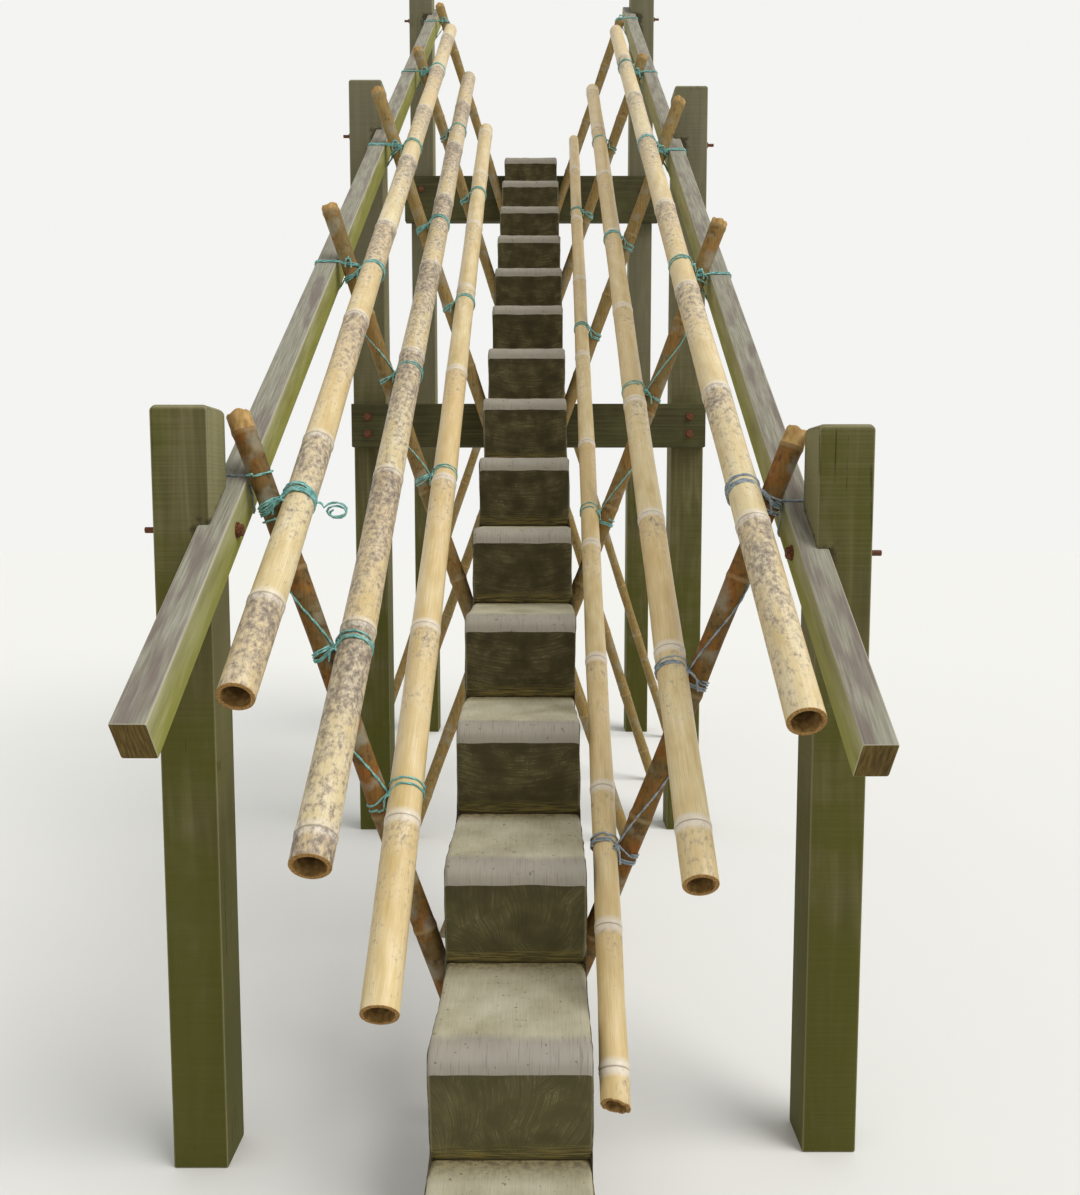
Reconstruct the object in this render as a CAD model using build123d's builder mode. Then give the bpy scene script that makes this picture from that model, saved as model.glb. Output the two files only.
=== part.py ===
from build123d import *
import math
import os

# Entrance stair of a longhouse: one notched log between two runs of bamboo and sawn timber
# handrails, carried by crossed poles, posts and two crossbeams.
# X runs across the stair, Y runs uphill and Z is up. The origin is on the ground, in the
# middle of the log's foot. Sizes are in millimetres. A distance up the stair is given in
# treads, and a height is square to the line of the tread noses.

# Notched log
tread_count = 15
tread_run = 310.0
tread_rise = 222.0
first_rise = 165.0
first_nose_y = -80.0
log_width = 300.0
log_depth = 275.0
belly_radius = 90.0
nose_depth = 45.0
nose_fall = 20.0
nose_band = 24.0
riser_undercut = 30.0

# Cross poles, one pair for every three treads. The lean of the first and of the last pole is
# given, and the level of each pole's top above the noses. The first left pole ends by the top of
# its post, and a little over it.
pair_count = 5
pair_treads = 3
pole_radius = 25.0
pole_leans = {"left": (0.345, 0.32), "right": (0.39, 0.345)}
pole_tops = {"left": (None, 885.0, 915.0, 805.0, 780.0),
             "right": (805.0, 820.0, 865.0, 760.0, 690.0)}
pole_over_post = 3.788
contact_gap = 0.3

# Sawn timber handrails, housed in the posts. Their heights are those at the foot and at the
# head of the stair, and the clearances those from the first and from the last pole.
rail_width = 60.0
rail_depth = 80.0
rail_ease = 5.0
rail_heights = {"left": (606.0, 560.0), "right": (521.0, 562.0)}
rail_clearances = {"left": (0.3, 20.0), "right": (0.3, 0.3)}
rail_leads = {"left": 512.0, "right": 500.0}
rail_overrun = 15.0

# Sawn posts
post_widths = {"front": 110.0, "middle": 130.0, "head": 130.0}
post_ease = 7.0
housing_depth = 25.0
front_post_y = 475.0
post_rises = {"left": (190.0, 146.0, 180.0), "right": (204.0, 156.0, 166.0)}

# Crossbeams on the front faces of the middle and head posts, just behind the third and the
# last pair of poles
beam_thickness = 55.0
beam_clearances = {"middle": 26.0, "head": 8.0}
middle_beam_depth = 170.0
head_beam_depth = 250.0
middle_beam_seat = 20.0
head_beam_cover = 60.0
head_beam_overhang = 30.0

# Bamboo handrails
culm_wall = 9.0
mouth_depth = 160.0
node_ridge = 2.5
node_flare = 9.0
node_clearance = 34.0
node_gap_growth = 0.16
longest_node_gap = 1.7
# Side, radius, heights of the axis at the foot and at the head of the stair, lower and upper
# end, first node and the gap after it.
culms = {
    "bamboo_left_outer": ("left", 33.0, (559.0, 572.0), (1.82, 14.52), 2.41, 1.41),
    "bamboo_left_middle": ("left", 37.0, (309.0, 359.0), (1.42, 14.33), 1.57, 1.33),
    "bamboo_left_inner": ("left", 36.0, (60.0, 134.0), (1.08, 14.00), 2.12, 1.48),
    "bamboo_right_outer": ("right", 34.0, (539.0, 577.0), (1.72, 14.35), 3.07, 1.36),
    "bamboo_right_middle": ("right", 33.0, (228.0, 311.0), (1.46, 14.24), 1.76, 1.13),
    "bamboo_right_inner": ("right", 27.0, (-86.0, 70.0), (0.81, 14.16), 0.99, 0.73),
}

# The slope, along it and square to it
slope_length = math.hypot(tread_run, tread_rise)
cos_pitch = tread_run / slope_length
sin_pitch = tread_rise / slope_length
up_slope = Vector(0, cos_pitch, sin_pitch)
off_slope = Vector(0, -sin_pitch, cos_pitch)
across = {"left": -1, "right": 1}


def slope_point(x, treads, height):
    """A point so many treads up from the lowest nose, at a height square to the slope."""
    nose = Vector(x, first_nose_y, first_rise)
    return nose + up_slope * treads * slope_length + off_slope * height


def nose_line(y):
    """Level of the line of tread noses at a distance up the stair."""
    return first_rise + (y - first_nose_y) * tread_rise / tread_run


def height_at(heights, treads):
    """Height of a member that runs straight from the foot to the head of the stair."""
    return heights[0] + (heights[1] - heights[0]) * treads / tread_count


def treads_at(y, heights):
    """How many treads up the stair such a member reaches this Y."""
    growth = (heights[1] - heights[0]) / tread_count
    return (y - first_nose_y + sin_pitch * heights[0]) / (tread_run - sin_pitch * growth)


# Each pole leans on the round lower corner of the log, and the bamboo lies on the inner side
# of the pole. Pole and bamboo cross at an angle, so their axes are further apart, measured
# level, than their radii add up to, by the crossing factor.
belly_drop = log_depth / cos_pitch
bearing_level = -(log_depth - belly_radius) / cos_pitch


def pole_lean(side, pair):
    """How far a pole leans out for every millimetre that it rises."""
    first, last = pole_leans[side]
    return first + (last - first) * pair / (pair_count - 1)


def crossing_factor(side, pair):
    """Level distance for each millimetre between a pole and a member along the slope."""
    crossing = Vector(pole_lean(side, pair), 0, 1).cross(up_slope)
    return crossing.length / abs(crossing.X)


def pole_side(side, pair, level):
    """Where a pole's inner side meets members along the slope, at a level above the noses."""
    bearing_x = log_width / 2 - belly_radius + belly_radius * crossing_factor(side, pair)
    return bearing_x + pole_lean(side, pair) * (level - bearing_level)


def pole_x(side, pair, level):
    """Where a pole's axis is, at a level above the noses."""
    reach = (pole_radius + contact_gap) * crossing_factor(side, pair)
    return pole_side(side, pair, level) + reach


def pole_y(side, pair):
    """The right pole of a pair stands behind the left one."""
    first_y = front_post_y + post_widths["front"] + pole_radius + contact_gap
    if side == "right":
        first_y += 2 * pole_radius + contact_gap
    return first_y + pair * pair_treads * tread_run


def straight_by(points, bound):
    """Start and growth a tread of a line by the first and last points, past none of them."""
    (first, first_x), (last, last_x) = points[0], points[-1]
    growth = (last_x - first_x) / (last - first)
    return bound(x - growth * treads for treads, x in points), growth


def post_y(side, row):
    """Front of a post. The front post stands before its pole, the others behind a pair."""
    if row == "front":
        return pole_y(side, 0) - pole_radius - contact_gap - post_widths["front"]
    pair = {"middle": 2, "head": 4}[row]
    return pole_y("right", pair) + pole_radius + beam_clearances[row] + beam_thickness


# The rails run along the outer sides of the poles.
rail_lines = {}
for side in across:
    points = []
    for pair in range(pair_count):
        treads = treads_at(pole_y(side, pair), rail_heights[side])
        lean = pole_lean(side, pair)
        near, far = rail_clearances[side]
        clearance = near + (far - near) * pair / (pair_count - 1)
        axis_x = pole_x(side, pair, height_at(rail_heights[side], treads) / cos_pitch)
        points.append((treads, axis_x + pole_radius * math.hypot(1, lean) + clearance))
    rail_lines[side] = straight_by(points, max)


def rail_inner_x(side, treads):
    """Distance of a rail's inner face from the middle of the stair."""
    start, growth = rail_lines[side]
    return start + growth * treads


def rail_end(side, y, lead):
    """Middle of a rail's end, which leads a place on the slope by so many millimetres."""
    treads = treads_at(y, rail_heights[side]) + lead / slope_length
    x = across[side] * (rail_inner_x(side, treads) + rail_width / 2)
    return slope_point(x, treads, height_at(rail_heights[side], treads) - rail_depth / 2)


rail_low = {side: rail_end(side, post_y(side, "front"), -rail_leads[side]) for side in across}
rail_high = {side: rail_end(side, post_y(side, "head") + post_widths["head"], rail_overrun)
             for side in across}


def rail_plane(side):
    """Section through a rail at its upper end, with its Y square to the slope."""
    return Plane(rail_high[side], x_dir=(1, 0, 0), z_dir=rail_low[side] - rail_high[side])


def post_inner_x(side, row):
    """A post takes the rail into its inner face."""
    middle_y = post_y(side, row) + post_widths[row] / 2
    treads = treads_at(middle_y, rail_heights[side])
    return rail_inner_x(side, treads) + rail_width - housing_depth


def post_top(side, row):
    """Level of a post's top, which stands over the rail's middle by the post's rise."""
    middle_y = post_y(side, row) + post_widths[row] / 2
    treads = treads_at(middle_y, rail_heights[side])
    rail_level = nose_line(middle_y) + height_at(rail_heights[side], treads) / cos_pitch
    return rail_level + post_rises[side][list(post_widths).index(row)]


def pole_top(side, pair):
    """Level of a pole's top above the noses."""
    if pole_tops[side][pair] is None:
        return post_top(side, "front") + pole_over_post - nose_line(pole_y(side, pair))
    return pole_tops[side][pair]


def finish(piece, name):
    """Names a finished piece and writes it."""
    piece.label = name
    export_step(piece, f"parts/{name}.step")


os.makedirs("parts", exist_ok=True)

# Notched log
# The treads and risers are cut into one trunk, whose belly stays round. Its foot is cut level
# to stand on the ground, and two seats in its belly take the crossbeams.
log_head_y = post_y("right", "head")
log_head_belly = nose_line(log_head_y) - belly_drop
top_tread_level = first_rise + (tread_count - 1) * tread_rise
foot_front_y = first_nose_y + riser_undercut
foot_back_y = first_nose_y + (belly_drop - first_rise) * tread_run / tread_rise
beam_front = {row: post_y("right", row) - beam_thickness for row in ("middle", "head")}
beam_top = {
    "middle": nose_line(beam_front["middle"]) - belly_drop + middle_beam_seat,
    "head": top_tread_level - head_beam_cover,
}

with BuildPart() as notched_log:
    with BuildSketch(Plane.YZ.offset(-log_width / 2)):
        with BuildLine():
            riser_foot = (foot_front_y, 0)
            for tread in range(tread_count):
                nose_y = first_nose_y + tread * tread_run
                level = first_rise + tread * tread_rise
                band_foot = (nose_y, level - nose_fall - nose_band)
                band_head = (nose_y, level - nose_fall)
                tread_front = (nose_y + nose_depth, level)
                Line(riser_foot, band_foot)
                Line(band_foot, band_head)
                TangentArc(tread_front, band_head, tangent=(-1, 0))
                riser_foot = (nose_y + tread_run + riser_undercut, level)
                if tread < tread_count - 1:
                    Line(tread_front, riser_foot)
            Line(tread_front, (log_head_y, top_tread_level))
            Line((log_head_y, top_tread_level), (log_head_y, log_head_belly))
            Line((log_head_y, log_head_belly), (foot_back_y, 0))
            Line((foot_back_y, 0), (foot_front_y, 0))
        make_face()
    extrude(amount=log_width)
    trunk_top = slope_point(0, tread_count, 0)
    with BuildSketch(Plane(trunk_top, x_dir=(1, 0, 0), z_dir=up_slope * -1)):
        with Locations((0, -log_depth)):
            Rectangle(log_width, 2 * log_depth, align=(Align.CENTER, Align.MIN))
        fillet(vertices().group_by(Axis.Y)[0], belly_radius)
    extrude(amount=(tread_count + 2) * slope_length, mode=Mode.INTERSECT)
    for row in beam_front:
        with Locations((0, beam_front[row], beam_top[row])):
            Box(log_width, beam_thickness, 2 * log_depth,
                align=(Align.CENTER, Align.MIN, Align.MAX), mode=Mode.SUBTRACT)
finish(notched_log.part, "notched_log")

# Sawn timber handrails
# Each is one length of timber with eased edges, cut off square.
for side in across:
    with BuildPart() as rail:
        with BuildSketch(rail_plane(side)):
            RectangleRounded(rail_width, rail_depth, rail_ease)
        extrude(amount=(rail_high[side] - rail_low[side]).length)
    finish(rail.part, f"timber_rail_{side}")

# Sawn posts
# A slanting housing in the inner face takes the rail, and the post's head stands over it.
for side, direction in across.items():
    for row, width in post_widths.items():
        middle_y = post_y(side, row) + width / 2
        with BuildPart() as post:
            with BuildSketch(Plane.XY):
                with Locations((direction * (post_inner_x(side, row) + width / 2), middle_y)):
                    Rectangle(width, width)
            extrude(amount=post_top(side, row))
            chamfer(post.faces().sort_by(Axis.Z)[-1].edges(), post_ease)
            with BuildSketch(rail_plane(side)):
                Rectangle(rail_width, rail_depth)
            extrude(amount=(rail_high[side] - rail_low[side]).length, mode=Mode.SUBTRACT)
        finish(post.part, f"{row}_post_{side}")

# Crossbeams
# Sawn planks on edge, bolted to the front faces of the posts. The log sits on both.
for row, depth, overhang in (("middle", middle_beam_depth, 0),
                             ("head", head_beam_depth, head_beam_overhang)):
    reach = {side: post_inner_x(side, row) + post_widths[row] + overhang for side in across}
    with BuildPart() as beam:
        with Locations((-reach["left"], beam_front[row], beam_top[row])):
            Box(reach["left"] + reach["right"], beam_thickness, depth,
                align=(Align.MIN, Align.MIN, Align.MAX))
    finish(beam.part, f"{row}_crossbeam")


# Bamboo handrails
# Whole culms with a ridge at every node. The gaps between nodes grow up the culm, and no node
# sits on a pole. Both ends are open as far as the nearest node.
def node_places(ends, first_node, first_gap, first_pole):
    """Distances of the nodes from a culm's lower end."""
    clearance = node_clearance / slope_length
    places = []
    node, gap = first_node, first_gap
    while node < ends[1] - clearance:
        past_pole = (node - first_pole + clearance) % pair_treads
        places.append((node + max(0, 2 * clearance - past_pole) - ends[0]) * slope_length)
        node += gap
        gap = min(gap + node_gap_growth, longest_node_gap)
    return places


for name, (side, radius, heights, ends, first_node, first_gap) in culms.items():
    # The culm runs straight along the inner sides of the poles that it reaches.
    seats = []
    for pair in range(pair_count):
        treads = treads_at(pole_y(side, pair), heights)
        level = height_at(heights, treads) / cos_pitch
        if treads < ends[1]:
            seat = pole_side(side, pair, level) - radius * crossing_factor(side, pair)
            seats.append((treads, seat))
    start, growth = straight_by(seats, min)
    low, high = [slope_point(across[side] * (start + growth * treads), treads,
                             height_at(heights, treads)) for treads in ends]
    length = (high - low).length
    nodes = node_places(ends, first_node, first_gap, seats[0][0])
    bore = radius - culm_wall
    low_mouth = min(mouth_depth, nodes[0])
    high_mouth = max(length - mouth_depth, nodes[-1])
    outline = [(0, bore), (0, radius)]
    for node in nodes:
        outline += [(node - node_flare, radius), (node, radius + node_ridge),
                    (node + node_flare, radius)]
    outline += [(length, radius), (length, bore), (high_mouth, bore), (high_mouth, 0),
                (low_mouth, 0), (low_mouth, bore), (0, bore)]
    with BuildPart() as culm:
        with BuildSketch(Plane(low, x_dir=high - low, z_dir=(high - low).cross(Vector(0, 0, 1)))):
            with BuildLine():
                Polyline(*outline)
            make_face()
        revolve(axis=Axis(low, high - low))
    finish(culm.part, name)

# Cross poles
# They stand on the ground, cross under the log and lean out to the rails.
for side, direction in across.items():
    for pair in range(pair_count):
        y, top = pole_y(side, pair), pole_top(side, pair)
        foot = Vector(direction * pole_x(side, pair, -nose_line(y)), y, 0)
        head = Vector(direction * pole_x(side, pair, top), y, nose_line(y) + top)
        with BuildPart() as pole:
            with BuildSketch(Plane(head, x_dir=(0, 1, 0), z_dir=foot - head)):
                Circle(pole_radius)
            extrude(amount=(foot - head).length + pole_radius)
            split(bisect_by=Plane.XY, keep=Keep.TOP)
        finish(pole.part, f"pole_{side}_{pair + 1}")
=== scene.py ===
import math
import random

import bmesh
import bpy
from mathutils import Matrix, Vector, noise


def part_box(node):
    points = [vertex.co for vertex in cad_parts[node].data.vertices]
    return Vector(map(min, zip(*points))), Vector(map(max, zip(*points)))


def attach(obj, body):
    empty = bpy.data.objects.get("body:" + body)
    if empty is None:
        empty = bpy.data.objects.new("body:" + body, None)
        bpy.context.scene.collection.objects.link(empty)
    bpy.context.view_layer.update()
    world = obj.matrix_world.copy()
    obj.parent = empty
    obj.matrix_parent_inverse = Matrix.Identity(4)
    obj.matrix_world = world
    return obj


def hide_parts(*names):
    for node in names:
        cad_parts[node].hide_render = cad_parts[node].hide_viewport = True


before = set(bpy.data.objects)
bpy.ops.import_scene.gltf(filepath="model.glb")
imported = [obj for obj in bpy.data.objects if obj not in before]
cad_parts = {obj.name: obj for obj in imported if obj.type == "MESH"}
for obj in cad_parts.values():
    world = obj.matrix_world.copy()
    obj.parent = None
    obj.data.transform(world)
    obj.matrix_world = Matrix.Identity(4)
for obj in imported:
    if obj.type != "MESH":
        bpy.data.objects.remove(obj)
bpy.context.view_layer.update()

# Viewpoint
# The eye stands in front of the lowest tread, 1.3 m above the ground, and looks up the stair,
# pitched 5 degrees down. Its focal length is 1000 px on a picture 1195 px tall.
view_data = bpy.data.cameras.new("viewpoint")
view_data.sensor_fit = "VERTICAL"
view_data.sensor_height = 36.0
view_data.lens = 36.0 * 1000 / 1195
viewpoint = bpy.data.objects.new("viewpoint", view_data)
viewpoint.location = (0.051, -1.438, 1.326)
viewpoint.rotation_euler = (math.radians(85.0), 0, 0)
bpy.context.collection.objects.link(viewpoint)
bpy.context.scene.camera = viewpoint
bpy.context.scene.view_settings.view_transform = "Standard"


# Notched log
# One hardwood trunk, 300 mm wide, with fifteen treads cut into its top by chainsaw. Feet have
# hollowed and paled the treads, the sawn risers stay dark, and the belly is left round. It is
# seated on the crossbeams by two notches in its belly.
run, rise = 0.310, 0.222
first_nose_y, first_rise, tread_count = -0.080, 0.165, 15
log_half, log_depth, belly_radius = 0.150, 0.275, 0.090
log_head_y = 4.4686
pitch = math.atan2(rise, run)
downward = Vector((0, math.sin(pitch), -math.cos(pitch)))


def linear(code):
    """An sRGB hex colour as Blender's linear one."""
    parts = [int(code[i:i + 2], 16) / 255 for i in (1, 3, 5)]
    return tuple(c / 12.92 if c < 0.04045 else ((c + 0.055) / 1.055) ** 2.4 for c in parts) + (1,)


def add(tree, kind, feeds=None, stops=(), **settings):
    """Adds a node. Each feed is a value, or the node or socket that drives the input. The stops
    are a colour ramp's. Inputs 1 to 4 of a Map Range are the range read and the range given."""
    made = tree.nodes.new(kind)
    for key, value in settings.items():
        setattr(made, key, value)
    for key, value in (feeds or {}).items():
        if isinstance(value, bpy.types.Node):
            value = value.outputs[0]
        if isinstance(value, bpy.types.NodeSocket):
            tree.links.new(value, made.inputs[key])
        else:
            made.inputs[key].default_value = value
    if stops:
        elements = made.color_ramp.elements
        elements.remove(elements[1])
        elements[0].position, elements[0].color = stops[0]
        for place, colour in stops[1:]:
            elements.new(place).color = colour
    return made


def new_finish(name, roughness, gloss=0.22):
    """An empty material with its shader, for the nodes that follow. Open, weathered grain
    scatters most of the shine, so wood has half the usual gloss."""
    material = bpy.data.materials.new(name)
    material.use_nodes = True
    tree = material.node_tree
    tree.nodes.clear()
    shader = add(tree, "ShaderNodeBsdfPrincipled", {
        "Roughness": roughness, "Specular IOR Level": gloss})
    add(tree, "ShaderNodeOutputMaterial", {"Surface": shader})
    return material, tree, shader


def finished(name, mesh, materials, node):
    """Puts a mesh in the scene as a piece that rides with the stair and stands for its CAD node."""
    piece = bpy.data.objects.new(name, mesh)
    bpy.context.collection.objects.link(piece)
    for material in materials:
        mesh.materials.append(material)
    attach(piece, "root")
    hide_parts(node)


def foot_worn_hardwood():
    """Hardwood worn smooth and grey by feet: pale and dull, greyest at the nose, dirty at the
    back where nobody treads. The grain is drawn 3 mm wide, coarser than it is, to show."""
    material, tree, shader = new_finish("foot_worn_hardwood", 0.72)
    place = add(tree, "ShaderNodeTexCoord").outputs["Object"]
    behind = add(tree, "ShaderNodeAttribute", attribute_name="behind_nose").outputs["Fac"]
    clouds = add(tree, "ShaderNodeTexNoise", {"Vector": place, "Scale": 1 / 0.09, "Detail": 5.0})
    grain_place = add(tree, "ShaderNodeMapping", {"Vector": place, "Scale": (1 / 0.003, 1 / 0.05, 1)})
    grain = add(tree, "ShaderNodeTexNoise", {"Vector": grain_place, "Scale": 1.0, "Detail": 3.0})
    specks = add(tree, "ShaderNodeTexNoise", {"Vector": place, "Scale": 1 / 0.012, "Detail": 2.0})
    body = add(tree, "ShaderNodeValToRGB", {"Fac": clouds},
               ((0.3, linear("#9d967a")), (0.5, linear("#b2ab8f")), (0.72, linear("#c2bca3"))))
    lined = add(tree, "ShaderNodeMixRGB", {"Fac": 0.16, "Color1": body, "Color2": add(
        tree, "ShaderNodeValToRGB", {"Fac": grain},
        ((0.3, linear("#7d7462")), (0.65, linear("#c3bca8"))))})
    edge_noise = add(tree, "ShaderNodeMath", {0: clouds, 1: 0.03, 2: behind}, operation="MULTIPLY_ADD")
    nose = add(tree, "ShaderNodeMapRange", {"Value": edge_noise, 1: 0.052, 2: 0.075, 3: 1.0, 4: 0.0})
    greyed = add(tree, "ShaderNodeMixRGB",
                 {"Fac": add(tree, "ShaderNodeMath", {0: nose, 1: 0.75}, operation="MULTIPLY"),
                  "Color1": lined, "Color2": linear("#918b82")})
    cut_place = add(tree, "ShaderNodeMapping", {
        "Vector": place, "Scale": (1 / 0.0022, 1 / 0.05, 1 / 0.05)})
    cuts = add(tree, "ShaderNodeTexNoise", {"Vector": cut_place, "Scale": 1.0, "Detail": 1.0})
    cut = add(tree, "ShaderNodeMath", {
        0: nose, 1: add(tree, "ShaderNodeMapRange", {"Value": cuts, 1: 0.60, 2: 0.72, 3: 0.0, 4: 0.5})},
        operation="MULTIPLY")
    nicked = add(tree, "ShaderNodeMixRGB", {"Fac": cut, "Color1": greyed, "Color2": linear("#69625a")})
    back = add(tree, "ShaderNodeMapRange", {"Value": edge_noise, 1: 0.29, 2: 0.36, 3: 0.0, 4: 1.0})
    dirt = add(tree, "ShaderNodeValToRGB", {"Fac": specks},
               ((0.35, linear("#5b4d2c")), (0.6, linear("#8d8158"))))
    soiled = add(tree, "ShaderNodeMixRGB", {"Fac": back, "Color1": nicked, "Color2": dirt})
    spots = add(tree, "ShaderNodeMapRange", {"Value": specks, 1: 0.67, 2: 0.71, 3: 0.0, 4: 0.6})
    spotted = add(tree, "ShaderNodeMixRGB", {
        "Fac": spots, "Color1": soiled, "Color2": linear("#584e3c")})
    tree.links.new(spotted.outputs[0], shader.inputs["Base Color"])
    height = add(tree, "ShaderNodeMath", {0: grain, 1: clouds}, operation="ADD")
    bump = add(tree, "ShaderNodeBump", {"Strength": 0.35, "Distance": 0.002, "Height": height})
    tree.links.new(bump.outputs[0], shader.inputs["Normal"])
    return material


def chainsawn_riser():
    """Hardwood as the chainsaw left it: dark olive brown, scored in fans by the tip of the bar,
    or in level strokes higher up, with ochre splinters torn along the foot. Painted shade darkens
    the top under the nose and the inside corner at the foot."""
    material, tree, shader = new_finish("chainsawn_riser", 0.85)
    place = add(tree, "ShaderNodeTexCoord").outputs["Object"]
    across = add(tree, "ShaderNodeSeparateXYZ", {0: place}).outputs["X"]
    below = add(tree, "ShaderNodeAttribute", attribute_name="below_nose").outputs["Fac"]
    number = add(tree, "ShaderNodeAttribute", attribute_name="tread_number").outputs["Fac"]
    chance = add(tree, "ShaderNodeTexWhiteNoise", {"W": number}, noise_dimensions="1D")
    pivot = add(tree, "ShaderNodeSeparateColor", {0: chance.outputs["Color"]})
    fans = []
    for seed, lean, bend, cuts_per_radian in ((0, -0.09, 3.5, 30.0), (3.7, 0.07, -4.5, 24.0)):
        pivot_x = add(tree, "ShaderNodeMapRange", {
            "Value": pivot.outputs[0], 3: lean - 0.06, 4: lean + 0.06})
        pivot_z = add(tree, "ShaderNodeMapRange", {"Value": pivot.outputs[1], 3: 0.20, 4: 0.27})
        from_pivot = add(tree, "ShaderNodeCombineXYZ", {
            0: add(tree, "ShaderNodeMath", {0: across, 1: pivot_x}, operation="SUBTRACT"),
            1: add(tree, "ShaderNodeMath", {0: below, 1: pivot_z}, operation="SUBTRACT")})
        reach = add(tree, "ShaderNodeVectorMath", {0: from_pivot}, operation="LENGTH").outputs["Value"]
        turned = add(tree, "ShaderNodeSeparateXYZ", {0: from_pivot})
        turn = add(tree, "ShaderNodeMath", {
            0: turned.outputs[1], 1: turned.outputs[0]}, operation="ARCTAN2")
        curved = add(tree, "ShaderNodeMath", {0: reach, 1: bend, 2: turn}, operation="MULTIPLY_ADD")
        ray = add(tree, "ShaderNodeCombineXYZ", {
            0: add(tree, "ShaderNodeMath", {0: curved, 1: cuts_per_radian}, operation="MULTIPLY"),
            1: add(tree, "ShaderNodeMath", {0: reach, 1: 7.0}, operation="MULTIPLY"),
            2: add(tree, "ShaderNodeMath", {0: number, 1: seed}, operation="ADD")})
        fans.append(add(tree, "ShaderNodeTexNoise", {"Vector": ray, "Scale": 1.0, "Detail": 2.5}))
    patch = add(tree, "ShaderNodeTexNoise", {"Vector": place, "Scale": 1 / 0.14})
    patched = add(tree, "ShaderNodeMapRange", {"Value": patch, 1: 0.47, 2: 0.53})
    marks = add(tree, "ShaderNodeMixRGB", {"Fac": patched, "Color1": fans[0], "Color2": fans[1]})
    bowed = add(tree, "ShaderNodeMath", {0: add(
        tree, "ShaderNodeMath", {0: across, 1: across}, operation="MULTIPLY"), 1: 1.2, 2: below},
        operation="MULTIPLY_ADD")
    level = add(tree, "ShaderNodeCombineXYZ", {
        0: add(tree, "ShaderNodeMath", {0: across, 1: 0.12}, operation="DIVIDE"),
        1: add(tree, "ShaderNodeMath", {0: bowed, 1: 0.006}, operation="DIVIDE"), 2: number})
    strokes = add(tree, "ShaderNodeTexNoise", {"Vector": level, "Scale": 1.0, "Detail": 3.0})
    higher = add(tree, "ShaderNodeMapRange", {"Value": number, 1: 2.0, 2: 2.9, 3: 0.0, 4: 0.8})
    scored = add(tree, "ShaderNodeMixRGB", {"Fac": higher, "Color1": marks, "Color2": strokes})
    fine = add(tree, "ShaderNodeTexNoise", {"Vector": place, "Scale": 1 / 0.05, "Detail": 6.0})
    tone = add(tree, "ShaderNodeMixRGB", {"Fac": 0.30, "Color1": fine, "Color2": scored})
    body = add(tree, "ShaderNodeValToRGB", {"Fac": tone},
               ((0.34, linear("#37301b")), (0.5, linear("#463f26")), (0.66, linear("#574e32"))))
    low_down = add(tree, "ShaderNodeMapRange", {"Value": number, 1: 0.0, 2: 4.0, 3: 0.40, 4: 0.0})
    paled = add(tree, "ShaderNodeMixRGB", {
        "Fac": low_down, "Color1": body, "Color2": linear("#6f6b43")})
    crest = add(tree, "ShaderNodeMath", {0: add(
        tree, "ShaderNodeMath", {0: scored, 1: 0.53}, operation="SUBTRACT")}, operation="ABSOLUTE")
    line = add(tree, "ShaderNodeMapRange", {"Value": crest, 1: 0.0, 2: 0.022, 3: 0.5, 4: 0.0})
    gate = add(tree, "ShaderNodeMapRange", {"Value": fine, 1: 0.44, 2: 0.60})
    scratch = add(tree, "ShaderNodeMath", {0: line, 1: gate}, operation="MULTIPLY")
    scratched = add(tree, "ShaderNodeMixRGB", {
        "Fac": scratch, "Color1": paled, "Color2": linear("#8f8964")})
    shade_top = add(tree, "ShaderNodeMapRange", {"Value": below, 1: 0.03, 2: 0.09, 3: 0.45, 4: 0.0})
    shaded = add(tree, "ShaderNodeMixRGB", {
        "Fac": shade_top, "Color1": scratched, "Color2": linear("#2b2614")})
    splinter_place = add(tree, "ShaderNodeMapping", {
        "Vector": place, "Scale": (1 / 0.05, 1, 1 / 0.003)})
    splinters = add(tree, "ShaderNodeTexNoise", {"Vector": splinter_place, "Scale": 1.0, "Detail": 3.0})
    foot = add(tree, "ShaderNodeMapRange", {"Value": below, 1: 0.185, 2: 0.212, 3: 0.0, 4: 1.3})
    torn = add(tree, "ShaderNodeMath", {
        0: foot, 1: add(tree, "ShaderNodeMapRange", {"Value": splinters, 1: 0.40, 2: 0.62})},
        operation="MULTIPLY", use_clamp=True)
    footed = add(tree, "ShaderNodeMixRGB", {"Fac": torn, "Color1": shaded, "Color2": linear("#7d6f3c")})
    # Painted shade: a dark line in the inside corner where the foot of the riser meets the tread below.
    crease_shade = add(tree, "ShaderNodeMapRange", {"Value": below, 1: 0.213, 2: 0.220, 3: 0.0, 4: 0.8})
    crease_shaded = add(tree, "ShaderNodeMixRGB", {"Fac": crease_shade, "Color1": footed, "Color2": linear("#241c0c")})
    side = add(tree, "ShaderNodeMapRange", {
        "Value": add(tree, "ShaderNodeMath", {0: across}, operation="ABSOLUTE"),
        1: 0.1405, 2: 0.1455, 3: 0.0, 4: 0.55})
    sided = add(tree, "ShaderNodeMixRGB", {"Fac": side, "Color1": crease_shaded, "Color2": linear("#989074")})
    tree.links.new(sided.outputs[0], shader.inputs["Base Color"])
    height = add(tree, "ShaderNodeMath", {0: scored, 1: torn}, operation="ADD")
    bump = add(tree, "ShaderNodeBump", {"Strength": 0.5, "Distance": 0.003, "Height": height})
    tree.links.new(bump.outputs[0], shader.inputs["Normal"])
    return material


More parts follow.
